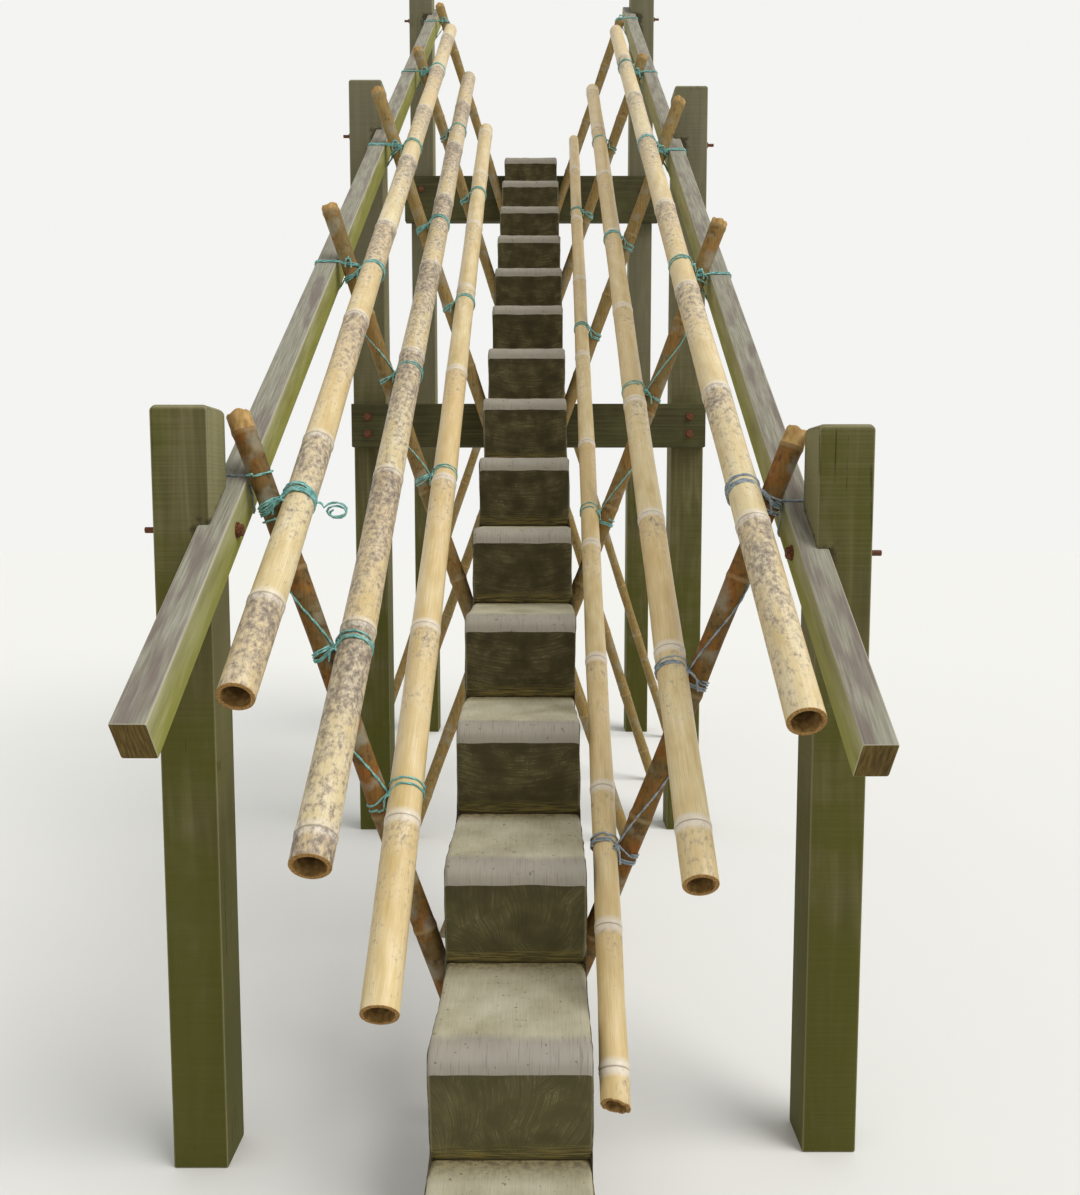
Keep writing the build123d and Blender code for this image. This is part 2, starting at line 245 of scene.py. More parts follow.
def weathered_trunk_side():
    """The barked side of the trunk: rough grey brown, with long checks that follow the grain."""
    material, tree, shader = new_finish("weathered_trunk_side", 0.88)
    place = add(tree, "ShaderNodeTexCoord").outputs["Object"]
    along = add(tree, "ShaderNodeMapping", {"Vector": place, "Rotation": (-pitch, 0, 0)})
    stretched = add(tree, "ShaderNodeMapping", {
        "Vector": along, "Scale": (1 / 0.010, 1 / 0.20, 1 / 0.010)})
    grain = add(tree, "ShaderNodeTexNoise", {"Vector": stretched, "Scale": 1.0, "Detail": 5.0})
    patches = add(tree, "ShaderNodeTexNoise", {"Vector": place, "Scale": 1 / 0.12, "Detail": 4.0})
    body = add(tree, "ShaderNodeValToRGB", {"Fac": grain},
               ((0.32, linear("#2c261b")), (0.5, linear("#584f3a")), (0.7, linear("#857c63"))))
    moss = add(tree, "ShaderNodeMapRange", {"Value": patches, 1: 0.52, 2: 0.70, 3: 0.0, 4: 0.6})
    green = add(tree, "ShaderNodeMixRGB", {"Fac": moss, "Color1": body, "Color2": linear("#5c5a31")})
    tree.links.new(green.outputs[0], shader.inputs["Base Color"])
    bump = add(tree, "ShaderNodeBump", {"Strength": 0.8, "Distance": 0.005, "Height": grain})
    tree.links.new(bump.outputs[0], shader.inputs["Normal"])
    return material


def stair_profile():
    """Points up the stair, each with its y and z, its distance behind and below the nose, the
    kind of surface that follows it and the tread's number. A riser is undercut, a band is worn
    below the nose, and the nose itself is a quarter round."""
    points = []
    undercut, nose_depth, nose_fall, band = 0.030, 0.045, 0.030, 0.014
    riser_steps, nose_steps, tread_steps = 11, 8, 14
    for tread in range(tread_count):
        nose_y, level = first_nose_y + tread * run, first_rise + tread * rise
        drop = level if tread == 0 else rise
        for step in range(riser_steps):
            part = step / riser_steps
            fall = drop + (nose_fall + band - drop) * part
            points.append((nose_y + undercut * (1 - part), level - fall, 0.34, fall, "riser", tread))
        for step in range(2):
            fall = nose_fall + band * (1 - step / 2)
            points.append((nose_y, level - fall, -0.012 * (2 - step), fall, "tread", tread))
        for step in range(nose_steps):
            turn = math.pi / 2 * (1 - step / nose_steps)
            points.append((nose_y + nose_depth * (1 - math.sin(turn)),
                           level - nose_fall * (1 - math.cos(turn)), 0.0056 * step, 0, "tread", tread))
        length = run + undercut - nose_depth if tread < tread_count - 1 \
            else log_head_y - nose_y - nose_depth
        for step in range(tread_steps):
            behind = nose_depth + length * step / tread_steps
            points.append((nose_y + behind, level, behind, 0, "tread", tread))
    points.append((log_head_y, level, log_head_y - nose_y, 0, "tread", tread))
    return points


def log_mesh():
    """The log as rings, each square to the slope, from its sawn foot to its head, which no ring
    reaches past. Its long edges are rounded and worn in, and its treads are hollowed."""
    edge_round, round_from, edge_wear, hollow, unevenness = 0.012, 0.138, 0.0045, 0.004, 0.0016
    half_x = [0.0150, 0.0300, 0.0450, 0.0600, 0.0750, 0.0900, 0.1050, 0.1200,
              0.1310, 0.1390, 0.1445, 0.1480]
    top_x = [-x for x in reversed(half_x)] + [0.0] + half_x
    wall_parts = [0.0, 0.2, 0.4, 0.6, 0.8, 1.0]
    belly = []
    for i in range(1, 8):
        turn = math.pi / 2 * i / 7
        belly.append((log_half - belly_radius * (1 - math.cos(turn)),
                      log_depth - belly_radius * (1 - math.sin(turn))))
    lower = [(log_half, -part) for part in wall_parts] + belly + [(0.03, log_depth)]
    lower += [(-x, d) for x, d in reversed(lower)]
    shape = bmesh.new()
    behind_layer = shape.verts.layers.float.new("behind_nose")
    below_layer = shape.verts.layers.float.new("below_nose")
    number_layer = shape.faces.layers.float.new("tread_number")
    rings, profile = [], stair_profile()
    for y, z, behind, below, kind, tread in profile:
        above = (z - first_rise) * math.cos(pitch) - (y - first_nose_y) * math.sin(pitch)
        room = min(z / math.cos(pitch), (log_head_y - y) / math.sin(pitch))
        ring = []
        narrow = [edge_wear + edge_wear * noise.noise(Vector((way * 5, y * 3.2, z * 3.2)))
                  + 0.0018 * noise.noise(Vector((way * 9, y * 15, z * 15))) for way in (-1, 1)]
        for x in top_x:
            past_edge = max(0.0, abs(x) - round_from)
            worn = edge_round - math.sqrt(max(0.0, edge_round ** 2 - past_edge ** 2))
            x *= 1 - max(0.0, narrow[x > 0]) / log_half
            if kind == "tread" and 0 < behind < 0.3:
                worn += hollow * (1 - (x / log_half) ** 2) * math.sin(math.pi * behind / 0.3)
            rough = unevenness * noise.noise(Vector((x * 30, y * 30, z * 30)))
            spot = Vector((x, y, z)) + downward * min(room, max(0, worn + rough + unevenness))
            if kind == "tread" and behind < -0.02:
                spot.z += 0.0025 * noise.noise(Vector((x * 14, tread * 9, 0)))
            ring.append(shape.verts.new(spot))
        for x, depth in lower:
            rough = max(0.0, narrow[x > 0]) + 0.002 * noise.noise(Vector((x * 50, y * 40, depth * 60)))
            wall = above + log_depth - belly_radius
            reach = min(room, above + depth) if depth > 0 else \
                min(room, min(edge_round, wall) + max(0.0, wall - edge_round) * -depth)
            pull = 1 - max(0.0, rough) / log_half
            ring.append(shape.verts.new(Vector((x * pull, y, z)) + downward * reach))
        for vert in ring:
            vert[behind_layer], vert[below_layer] = behind, below
        rings.append(ring)
    for here, there, (*_, kind, tread) in zip(rings, rings[1:], profile):
        for i in range(len(here)):
            j = (i + 1) % len(here)
            face = shape.faces.new((here[i], here[j], there[j], there[i]))
            face[number_layer] = tread
            face.material_index = 2 if i >= len(top_x) - 1 else (0 if kind == "tread" else 1)
    shape.faces.new(rings[0][::-1])
    shape.faces.new(rings[-1])
    bmesh.ops.remove_doubles(shape, verts=shape.verts, dist=0.0002)
    bmesh.ops.recalc_face_normals(shape, faces=shape.faces)
    for face in shape.faces:
        face.smooth = True
    mesh = bpy.data.meshes.new("notched_log")
    shape.to_mesh(mesh)
    shape.free()
    mesh.set_sharp_from_angle(angle=math.radians(38))
    return mesh


def seated(mesh):
    """Gives the log its three finishes and cuts the crossbeams' seats out of its belly."""
    log = bpy.data.objects.new("seated_log", mesh)
    bpy.context.collection.objects.link(log)
    for material in (foot_worn_hardwood(), chainsawn_riser(), weathered_trunk_side()):
        mesh.materials.append(material)
    seats = []
    for row, behind in (("middle", 0.0), ("head", 0.02)):
        lo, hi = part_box(f"{row}_crossbeam")
        shape = bmesh.new()
        bmesh.ops.create_cube(shape, size=1.0)
        for vert in shape.verts:
            vert.co.x *= 0.5
            vert.co.y = hi.y + behind if vert.co.y > 0 else lo.y
            vert.co.z = hi.z if vert.co.z > 0 else lo.z - 0.1
        seat_mesh = bpy.data.meshes.new(f"{row}_seat")
        shape.to_mesh(seat_mesh)
        shape.free()
        seat_mesh.materials.append(mesh.materials[2])
        seat = bpy.data.objects.new(f"{row}_seat", seat_mesh)
        bpy.context.collection.objects.link(seat)
        cut = log.modifiers.new(seat.name, "BOOLEAN")
        cut.operation, cut.solver, cut.object = "DIFFERENCE", "EXACT", seat
        seats.append(seat)
    result = bpy.data.meshes.new_from_object(log.evaluated_get(bpy.context.evaluated_depsgraph_get()))
    for spent in seats + [log]:
        bpy.data.objects.remove(spent)
    return result


finished("hewn_log", seated(log_mesh()), (), "notched_log")


# Sawn posts
# Six posts of sawn timber, planted upright, each with a slanting housing in its inner face that
# takes the handrail. Saw lines cross them level, the arrises are worn, and algae greens them.

# The ends of each handrail's centre line, which place the housings, the bolts and the twine.
rail_ends = {"left": (Vector((-0.5763, 0.0796, 0.9696)), Vector((-0.5515, 4.6342, 4.1761))),
             "right": (Vector((0.5927, 0.1442, 0.9226)), Vector((0.5581, 4.6340, 4.1869)))}
rail_half_width, rail_half_height = 0.030, 0.040


def eased_copy(node, ease):
    """A copy of a CAD solid with its outer edges worn round."""
    shape = bmesh.new()
    shape.from_mesh(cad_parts[node].data)
    bmesh.ops.remove_doubles(shape, verts=shape.verts, dist=1e-5)
    bmesh.ops.dissolve_limit(shape, angle_limit=math.radians(1), verts=shape.verts, edges=shape.edges)
    sharp = [edge for edge in shape.edges if len(edge.link_faces) == 2 and edge.is_convex
             and edge.calc_face_angle() > math.radians(25)]
    bmesh.ops.bevel(shape, geom=sharp, offset=ease, segments=3, profile=0.6, affect="EDGES",
                    clamp_overlap=True)
    for face in shape.faces:
        face.smooth = True
    mesh = bpy.data.meshes.new(node)
    shape.to_mesh(mesh)
    shape.free()
    mesh.set_sharp_from_angle(angle=math.radians(32))
    return mesh


def green_sawn_post(low, high):
    """Rough-sawn timber weathered outdoors: level saw lines, upright grain, a greening of algae
    that deepens towards the ground, pale worn arrises, painted light on the faces that look across
    the stair, and dirt with a painted shadow gap round the housing of the rail, whose centre line
    runs from low to high."""
    material, tree, shader = new_finish("green_sawn_post", 0.85)
    place = add(tree, "ShaderNodeTexCoord").outputs["Object"]
    parts = add(tree, "ShaderNodeSeparateXYZ", {0: place})
    grain_place = add(tree, "ShaderNodeMapping", {
        "Vector": place, "Scale": (1 / 0.038, 1 / 0.038, 1 / 0.50)})
    grain = add(tree, "ShaderNodeTexNoise", {"Vector": grain_place, "Scale": 1.0, "Detail": 4.0,
                                             "Distortion": 1.4})
    saw_place = add(tree, "ShaderNodeMapping", {
        "Vector": place, "Scale": (1 / 1.5, 1 / 1.5, 1 / 0.005)})
    saw = add(tree, "ShaderNodeTexNoise", {"Vector": saw_place, "Scale": 1.0, "Detail": 2.0})
    clouds = add(tree, "ShaderNodeTexNoise", {"Vector": place, "Scale": 1 / 0.16, "Detail": 5.0})
    body = add(tree, "ShaderNodeValToRGB", {"Fac": grain},
               ((0.32, linear("#4b4629")), (0.5, linear("#5b5433")), (0.68, linear("#6c6543"))))
    kerf = add(tree, "ShaderNodeMath", {
        0: add(tree, "ShaderNodeMapRange", {"Value": saw, 1: 0.42, 2: 0.62, 3: 0.0, 4: 0.28}),
        1: add(tree, "ShaderNodeMapRange", {"Value": clouds, 1: 0.42, 2: 0.60, 3: 0.15, 4: 1.0})},
        operation="MULTIPLY")
    sawn = add(tree, "ShaderNodeMixRGB", {"Fac": kerf, "Color1": body, "Color2": linear("#80795a")})
    damp = add(tree, "ShaderNodeMapRange", {
        "Value": parts.outputs["Z"], 1: 0.2, 2: 1.5, 3: 0.38, 4: 0.08})
    algae = add(tree, "ShaderNodeMath", {0: clouds, 1: damp}, operation="ADD")
    green = add(tree, "ShaderNodeMapRange", {"Value": algae, 1: 0.52, 2: 0.82, 3: 0.0, 4: 0.85})
    greened = add(tree, "ShaderNodeMixRGB", {"Fac": green, "Color1": sawn, "Color2": linear("#4b4b12")})
    weather = add(tree, "ShaderNodeMapRange", {
        "Value": parts.outputs["Z"], 1: 1.6, 2: 2.3, 3: 0.0, 4: 0.55})
    greyed = add(tree, "ShaderNodeMixRGB", {
        "Fac": weather, "Color1": greened, "Color2": linear("#716c59")})
    facing = add(tree, "ShaderNodeNewGeometry").outputs["Normal"]
    sides = add(tree, "ShaderNodeSeparateXYZ", {0: add(
        tree, "ShaderNodeVectorMath", {0: facing}, operation="ABSOLUTE")})
    # Painted light: the faces that look across the stair are paler, the more so higher up.
    side_light_mask = add(tree, "ShaderNodeMath", {
        0: add(tree, "ShaderNodeMapRange", {"Value": sides.outputs[0], 1: 0.90, 2: 0.99}),
        1: add(tree, "ShaderNodeMapRange", {
            "Value": parts.outputs["Z"], 1: 0.7, 2: 1.3, 3: 0.1, 4: 0.55})}, operation="MULTIPLY")
    side_lit = add(tree, "ShaderNodeMixRGB", {
        "Fac": side_light_mask, "Color1": greyed, "Color2": linear("#96916a")})
    widest = add(tree, "ShaderNodeMath", {
        0: sides.outputs[0], 1: sides.outputs[1]}, operation="MAXIMUM")
    flat = add(tree, "ShaderNodeMath", {0: widest, 1: sides.outputs[2]}, operation="MAXIMUM")
    arris = add(tree, "ShaderNodeMapRange", {"Value": flat, 1: 0.80, 2: 0.99, 3: 0.38, 4: 0.0})
    worn = add(tree, "ShaderNodeMixRGB", {"Fac": arris, "Color1": side_lit, "Color2": linear("#aaa27e")})
    end = add(tree, "ShaderNodeMapRange", {"Value": sides.outputs[2], 1: 0.85, 2: 0.95, 3: 0.0, 4: 0.7})
    ended = add(tree, "ShaderNodeMixRGB", {"Fac": end, "Color1": worn, "Color2": linear("#9b937a")})
    checks = add(tree, "ShaderNodeMapping", {"Vector": place, "Scale": (1 / 0.045, 1 / 0.045, 1 / 1.6)})
    crack = add(tree, "ShaderNodeTexVoronoi", {
        "Vector": checks, "Scale": 1.0}, feature="DISTANCE_TO_EDGE")
    gate = add(tree, "ShaderNodeMapRange", {"Value": clouds, 1: 0.60, 2: 0.66, 3: 0.0, 4: 1.0})
    line = add(tree, "ShaderNodeMapRange", {"Value": crack, 1: 0.0, 2: 0.022, 3: 1.0, 4: 0.0})
    split = add(tree, "ShaderNodeMath", {0: gate, 1: line}, operation="MULTIPLY")
    cracked = add(tree, "ShaderNodeMixRGB", {
        "Fac": add(tree, "ShaderNodeMath", {0: split, 1: 0.8}, operation="MULTIPLY"),
        "Color1": ended, "Color2": linear("#241d10")})
    # Part dirt, part painted shadow: a dark band on the post round the rail's housing stands for the
    # shadow gap between rail and post, and for a dirty drip line above and below the rail.
    rail_slope = math.atan2(high.z - low.z, high.y - low.y)
    from_rail = add(tree, "ShaderNodeVectorRotate", {
        "Vector": add(tree, "ShaderNodeVectorMath", {0: place, 1: tuple(low)}, operation="SUBTRACT"),
        "Angle": -rail_slope}, rotation_type="X_AXIS")
    off = add(tree, "ShaderNodeSeparateXYZ", {0: add(
        tree, "ShaderNodeVectorMath", {0: from_rail}, operation="ABSOLUTE")})
    beside = add(tree, "ShaderNodeMath", {
        0: off.outputs["X"], 1: rail_half_height - rail_half_width}, operation="ADD")
    off_rail = add(tree, "ShaderNodeMath", {0: beside, 1: off.outputs["Z"]}, operation="MAXIMUM")
    gap_wobble = add(tree, "ShaderNodeTexNoise", {"Vector": place, "Scale": 1 / 0.018, "Detail": 4.0})
    housing_reach = add(tree, "ShaderNodeMath", {
        0: add(tree, "ShaderNodeMapRange", {"Value": gap_wobble, 1: 0.3, 2: 0.7, 3: 0.008, 4: -0.008}),
        1: off_rail}, operation="ADD")
    stain = add(tree, "ShaderNodeMapRange", {"Value": housing_reach, 1: 0.039, 2: 0.050, 3: 0.75, 4: 0.0})
    stained = add(tree, "ShaderNodeMixRGB", {
        "Fac": stain, "Color1": cracked, "Color2": linear("#2a2212")})
    tree.links.new(stained.outputs[0], shader.inputs["Base Color"])
    height = add(tree, "ShaderNodeMath", {0: saw, 1: split}, operation="SUBTRACT")
    bump = add(tree, "ShaderNodeBump", {"Strength": 0.5, "Distance": 0.002, "Height": height})
    tree.links.new(bump.outputs[0], shader.inputs["Normal"])
    return material


for side, (low, high) in rail_ends.items():
    post_finish = green_sawn_post(low, high)
    for row in ("front", "middle", "head"):
        node = f"{row}_post_{side}"
        finished(f"sawn_{node}", eased_copy(node, ease=0.005), (post_finish,), node)


# Crossbeams
# Two sawn planks on edge, bolted across the front faces of the posts. The log sits on them.
# They are dark, and a little green in patches.
def dark_sawn_beam():
    """Dark sawn timber, a little green in patches, with 6 mm grain along its length."""
    material, tree, shader = new_finish("dark_sawn_beam", 0.85)
    place = add(tree, "ShaderNodeTexCoord").outputs["Object"]
    stretched = add(tree, "ShaderNodeMapping", {
        "Vector": place, "Scale": (1 / 0.30, 1 / 0.006, 1 / 0.006)})
    grain = add(tree, "ShaderNodeTexNoise", {"Vector": stretched, "Scale": 1.0, "Detail": 5.0})
    clouds = add(tree, "ShaderNodeTexNoise", {"Vector": place, "Scale": 1 / 0.15, "Detail": 5.0})
    body = add(tree, "ShaderNodeValToRGB", {"Fac": grain},
               ((0.3, linear("#34301a")), (0.5, linear("#3f3b21")), (0.7, linear("#4c482b"))))
    green = add(tree, "ShaderNodeMapRange", {"Value": clouds, 1: 0.45, 2: 0.70, 3: 0.0, 4: 0.6})
    greened = add(tree, "ShaderNodeMixRGB", {"Fac": green, "Color1": body, "Color2": linear("#54532f")})
    tree.links.new(greened.outputs[0], shader.inputs["Base Color"])
    bump = add(tree, "ShaderNodeBump", {"Strength": 0.6, "Distance": 0.002, "Height": grain})
    tree.links.new(bump.outputs[0], shader.inputs["Normal"])
    return material


beam_finish = dark_sawn_beam()
for row in ("middle", "head"):
    node = f"{row}_crossbeam"
    finished(f"sawn_{node}", eased_copy(node, ease=0.004), (beam_finish,), node)


# Timber handrails
# Two lengths of sawn timber, 60 by 80 mm, housed in the posts and bolted through. Rain and hands
# have greyed the tops along the grain, and algae yellows the shaded sides.
def weathered_rail(centre_height):
    """Planed timber left to the weather: grey and furrowed on top with brown patches at the low
    end, yellow green at the sides, pale along the arrises and dark on the end grain. Its centre
    height is measured square to the slope."""
    material, tree, shader = new_finish("weathered_rail", 0.80)
    place = add(tree, "ShaderNodeTexCoord").outputs["Object"]
    along = add(tree, "ShaderNodeMapping", {"Vector": place, "Rotation": (-pitch, 0, 0)})
    stretched = add(tree, "ShaderNodeMapping", {
        "Vector": along, "Scale": (1 / 0.0035, 1 / 0.09, 1 / 0.0035)})
    grain = add(tree, "ShaderNodeTexNoise", {"Vector": stretched, "Scale": 1.0, "Detail": 4.0})
    blotch = add(tree, "ShaderNodeMapping", {"Vector": along, "Scale": (1 / 0.03, 1 / 0.16, 1 / 0.03)})
    clouds = add(tree, "ShaderNodeTexNoise", {"Vector": blotch, "Scale": 1.0, "Detail": 4.0})
    top = add(tree, "ShaderNodeValToRGB", {"Fac": grain},
              ((0.3, linear("#7d7968")), (0.5, linear("#8e8a79")), (0.7, linear("#9f9c8c"))))
    low_end = add(tree, "ShaderNodeMapRange", {"Value": add(
        tree, "ShaderNodeSeparateXYZ", {0: place}).outputs["Y"], 1: 0.0, 2: 0.8, 3: 0.09, 4: 0.0})
    soaked = add(tree, "ShaderNodeMath", {0: clouds, 1: low_end}, operation="ADD")
    brown = add(tree, "ShaderNodeMapRange", {"Value": soaked, 1: 0.48, 2: 0.66, 3: 0.0, 4: 0.7})
    topped = add(tree, "ShaderNodeMixRGB", {"Fac": brown, "Color1": top, "Color2": linear("#6d5f59")})
    flank = add(tree, "ShaderNodeValToRGB", {"Fac": clouds},
                ((0.3, linear("#7a783a")), (0.5, linear("#949256")), (0.72, linear("#aeac7c"))))
    height = add(tree, "ShaderNodeSeparateXYZ", {0: along}).outputs["Z"]
    lower = add(tree, "ShaderNodeMapRange", {
        "Value": height, 1: centre_height - 0.030, 2: centre_height + 0.015, 3: 0.75, 4: 0.0})
    flank_green = add(tree, "ShaderNodeMixRGB", {
        "Fac": lower, "Color1": flank, "Color2": linear("#88892e")})
    upper = add(tree, "ShaderNodeMapRange", {
        "Value": height, 1: centre_height, 2: centre_height + 0.035, 3: 0.0, 4: 0.5})
    flank_pale = add(tree, "ShaderNodeMixRGB", {
        "Fac": upper, "Color1": flank_green, "Color2": linear("#aba888")})
    flank_lined = add(tree, "ShaderNodeMixRGB", {"Fac": 0.16, "Color1": flank_pale, "Color2": add(
        tree, "ShaderNodeValToRGB", {"Fac": grain},
        ((0.3, linear("#5a5530")), (0.7, linear("#b3ac80"))))})
    facing = add(tree, "ShaderNodeNewGeometry").outputs["Normal"]
    turned = add(tree, "ShaderNodeVectorRotate", {
        "Vector": facing, "Angle": -pitch}, rotation_type="X_AXIS")
    sides = add(tree, "ShaderNodeSeparateXYZ", {0: turned})
    upward = add(tree, "ShaderNodeMapRange", {"Value": sides.outputs[2], 1: 0.25, 2: 0.75})
    shell = add(tree, "ShaderNodeMixRGB", {"Fac": upward, "Color1": flank_lined, "Color2": topped})
    spread = add(tree, "ShaderNodeSeparateXYZ", {0: add(
        tree, "ShaderNodeVectorMath", {0: turned}, operation="ABSOLUTE")})
    flat = add(tree, "ShaderNodeMath", {
        0: spread.outputs[0], 1: spread.outputs[2]}, operation="MAXIMUM")
    ends = add(tree, "ShaderNodeMapRange", {"Value": spread.outputs[1], 1: 0.8, 2: 0.95})
    arris = add(tree, "ShaderNodeMapRange", {"Value": flat, 1: 0.80, 2: 0.985, 3: 0.6, 4: 0.0})
    worn = add(tree, "ShaderNodeMixRGB", {"Fac": arris, "Color1": shell, "Color2": linear("#b7b09a")})
    layers = add(tree, "ShaderNodeMapping", {"Vector": along, "Rotation": (0, 0.25, 0),
                                             "Scale": (1 / 0.004, 1 / 0.09, 1 / 0.040)})
    growth = add(tree, "ShaderNodeTexNoise", {
        "Vector": layers, "Scale": 1.0, "Detail": 4.0, "Distortion": 0.5})
    ended = add(tree, "ShaderNodeMixRGB", {"Fac": ends, "Color1": worn, "Color2": add(
        tree, "ShaderNodeValToRGB", {"Fac": growth},
        ((0.3, linear("#3f3110")), (0.5, linear("#58461b")), (0.7, linear("#6f5b2c"))))})
    tree.links.new(ended.outputs[0], shader.inputs["Base Color"])
    bump = add(tree, "ShaderNodeBump", {"Strength": 0.6, "Distance": 0.002, "Height": grain})
    tree.links.new(bump.outputs[0], shader.inputs["Normal"])
    return material


for side, (low, high) in rail_ends.items():
    node = f"timber_rail_{side}"
    rail_finish = weathered_rail(low.z * math.cos(pitch) - low.y * math.sin(pitch))
    finished(f"worn_rail_{side}", eased_copy(node, ease=0.003), (rail_finish,), node)


# Bolts
# Rusted coach bolts, 12 mm, pass through each handrail and its post, and two more hold each end
# of a crossbeam. Hex head on a round washer, and a nut with a stub of shaft behind.
def rusted_steel():
    """Plain steel bolt rusted brown: dull, pitted, with orange bloom. The pits are drawn 4 mm
    wide, coarser than they are, to show."""
    material, tree, shader = new_finish("rusted_steel", 0.75, gloss=0.5)
    place = add(tree, "ShaderNodeTexCoord").outputs["Object"]
    pits = add(tree, "ShaderNodeTexNoise", {"Vector": place, "Scale": 1 / 0.004, "Detail": 4.0})
    body = add(tree, "ShaderNodeValToRGB", {"Fac": pits},
               ((0.3, linear("#3c2416")), (0.55, linear("#6b3d22")), (0.75, linear("#b0682f"))))
    tree.links.new(body.outputs[0], shader.inputs["Base Color"])
    shader.inputs["Metallic"].default_value = 0.3
    bump = add(tree, "ShaderNodeBump", {"Strength": 0.6, "Distance": 0.0006, "Height": pits})
    tree.links.new(bump.outputs[0], shader.inputs["Normal"])
    return material


def bolt_tree(material):
    """Sets a hex head, a washer and a shaft on every seat, facing the way the seat faces."""
    tree = bpy.data.node_groups.new("hex_bolts", "GeometryNodeTree")
    tree.interface.new_socket("Seats", in_out="INPUT", socket_type="NodeSocketGeometry")
    for name, size in (("Head Radius", 0.0127), ("Head Height", 0.009), ("Washer Radius", 0.016),
                       ("Washer Thickness", 0.003), ("Shaft Radius", 0.006), ("Shaft Stub", 0.0)):
        socket = tree.interface.new_socket(name, in_out="INPUT", socket_type="NodeSocketFloat")
        socket.default_value = size
    tree.interface.new_socket("Bolts", in_out="OUTPUT", socket_type="NodeSocketGeometry")
    given = add(tree, "NodeGroupInput").outputs
    washer = add(tree, "GeometryNodeMeshCylinder", {
        "Vertices": 24, "Radius": given["Washer Radius"], "Depth": given["Washer Thickness"]})
    washer_middle = add(tree, "ShaderNodeMath", {
        0: given["Washer Thickness"], 1: 0.5}, operation="MULTIPLY")
    washer_up = add(tree, "GeometryNodeTransform", {
        "Geometry": washer, "Translation": add(tree, "ShaderNodeCombineXYZ", {2: washer_middle})})
    head_top = add(tree, "ShaderNodeMath", {0: given["Head Radius"], 1: 0.93}, operation="MULTIPLY")
    head = add(tree, "GeometryNodeMeshCone", {
        "Vertices": 6, "Radius Bottom": given["Head Radius"], "Depth": given["Head Height"],
        "Radius Top": head_top})
    head_up = add(tree, "GeometryNodeTransform", {"Geometry": head, "Translation": add(
        tree, "ShaderNodeCombineXYZ", {2: given["Washer Thickness"]})})
    shaft_length = add(tree, "ShaderNodeMath", {
        0: given["Shaft Stub"], 1: given["Head Height"]}, operation="ADD")
    shaft = add(tree, "GeometryNodeMeshCylinder", {
        "Vertices": 12, "Radius": given["Shaft Radius"], "Depth": shaft_length})
    shaft_middle = add(tree, "ShaderNodeMath", {0: shaft_length, 1: 0.5}, operation="MULTIPLY")
    shaft_up = add(tree, "GeometryNodeTransform", {
        "Geometry": shaft, "Translation": add(tree, "ShaderNodeCombineXYZ", {2: shaft_middle})})
    bolt = add(tree, "GeometryNodeJoinGeometry")
    for part in (washer_up, head_up, shaft_up):
        tree.links.new(part.outputs[0], bolt.inputs[0])
    facing = add(tree, "GeometryNodeInputNamedAttribute", {"Name": "facing"}, data_type="FLOAT_VECTOR")
    turned = add(tree, "FunctionNodeAlignRotationToVector", {"Vector": facing}, axis="Z")
    placed = add(tree, "GeometryNodeInstanceOnPoints", {
        "Points": given["Seats"], "Instance": bolt, "Rotation": turned})
    real = add(tree, "GeometryNodeRealizeInstances", {0: placed})
    dressed = add(tree, "GeometryNodeSetMaterial", {"Geometry": real, "Material": material})
    add(tree, "NodeGroupOutput", {0: dressed})
    return tree


def grown(name, seed_mesh, tree, sizes):
    """Runs a node tree on a seed mesh and keeps the result as a plain piece."""
    piece = bpy.data.objects.new(name, seed_mesh)
    bpy.context.collection.objects.link(piece)
    modifier = piece.modifiers.new(tree.name, "NODES")
    modifier.node_group = tree
    for item in tree.interface.items_tree:
        if item.in_out == "INPUT" and item.name in sizes:
            modifier[item.identifier] = sizes[item.name]
    solid = bpy.data.meshes.new_from_object(piece.evaluated_get(bpy.context.evaluated_depsgraph_get()))
    piece.modifiers.clear()
    piece.data = solid
    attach(piece, "root")


def bolt_seats(name, seats):
    """Points that carry the way each bolt faces."""
    mesh = bpy.data.meshes.new(name)
    mesh.from_pydata([place for place, _ in seats], [], [])
    facing = mesh.attributes.new("facing", "FLOAT_VECTOR", "POINT")
    for item, (_, way) in zip(facing.data, seats):
        item.vector = way
    return mesh


head_seats, nut_seats = [], []
for side, way in (("left", 1), ("right", -1)):
    low, high = rail_ends[side]
    for row in ("front", "middle", "head"):
        lo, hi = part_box(f"{row}_post_{side}")
        middle_y = (lo.y + hi.y) / 2
        spot = low.lerp(high, (middle_y - low.y) / (high.y - low.y))
        head_seats.append((spot + Vector((way * rail_half_width, 0, 0)), (way, 0, 0)))
        outer = lo.x if side == "left" else hi.x
        nut_seats.append(((outer, spot.y, spot.z), (-way, 0, 0)))
for row in ("middle", "head"):
    lo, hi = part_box(f"{row}_crossbeam")
    for side in ("left", "right"):
        post_lo, post_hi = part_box(f"{row}_post_{side}")
        middle_x = (post_lo.x + post_hi.x) / 2
        for share in (0.30, 0.70):
            height = lo.z + (hi.z - lo.z) * share
            head_seats.append(((middle_x, lo.y, height), (0, -1, 0)))
            nut_seats.append(((middle_x, post_hi.y, height), (0, 1, 0)))
bolts = bolt_tree(rusted_steel())
grown("bolt_heads", bolt_seats("bolt_heads", head_seats), bolts, {})
grown("bolt_nuts", bolt_seats("bolt_nuts", nut_seats), bolts, {"Shaft Stub": 0.026})


# Bamboo handrails
# Six whole culms, dry and straw coloured, tied along the inner sides of the poles. Each node has
# a sharp sheath scar and a soft ridge above it, and both ends are sawn open onto a dark hollow.

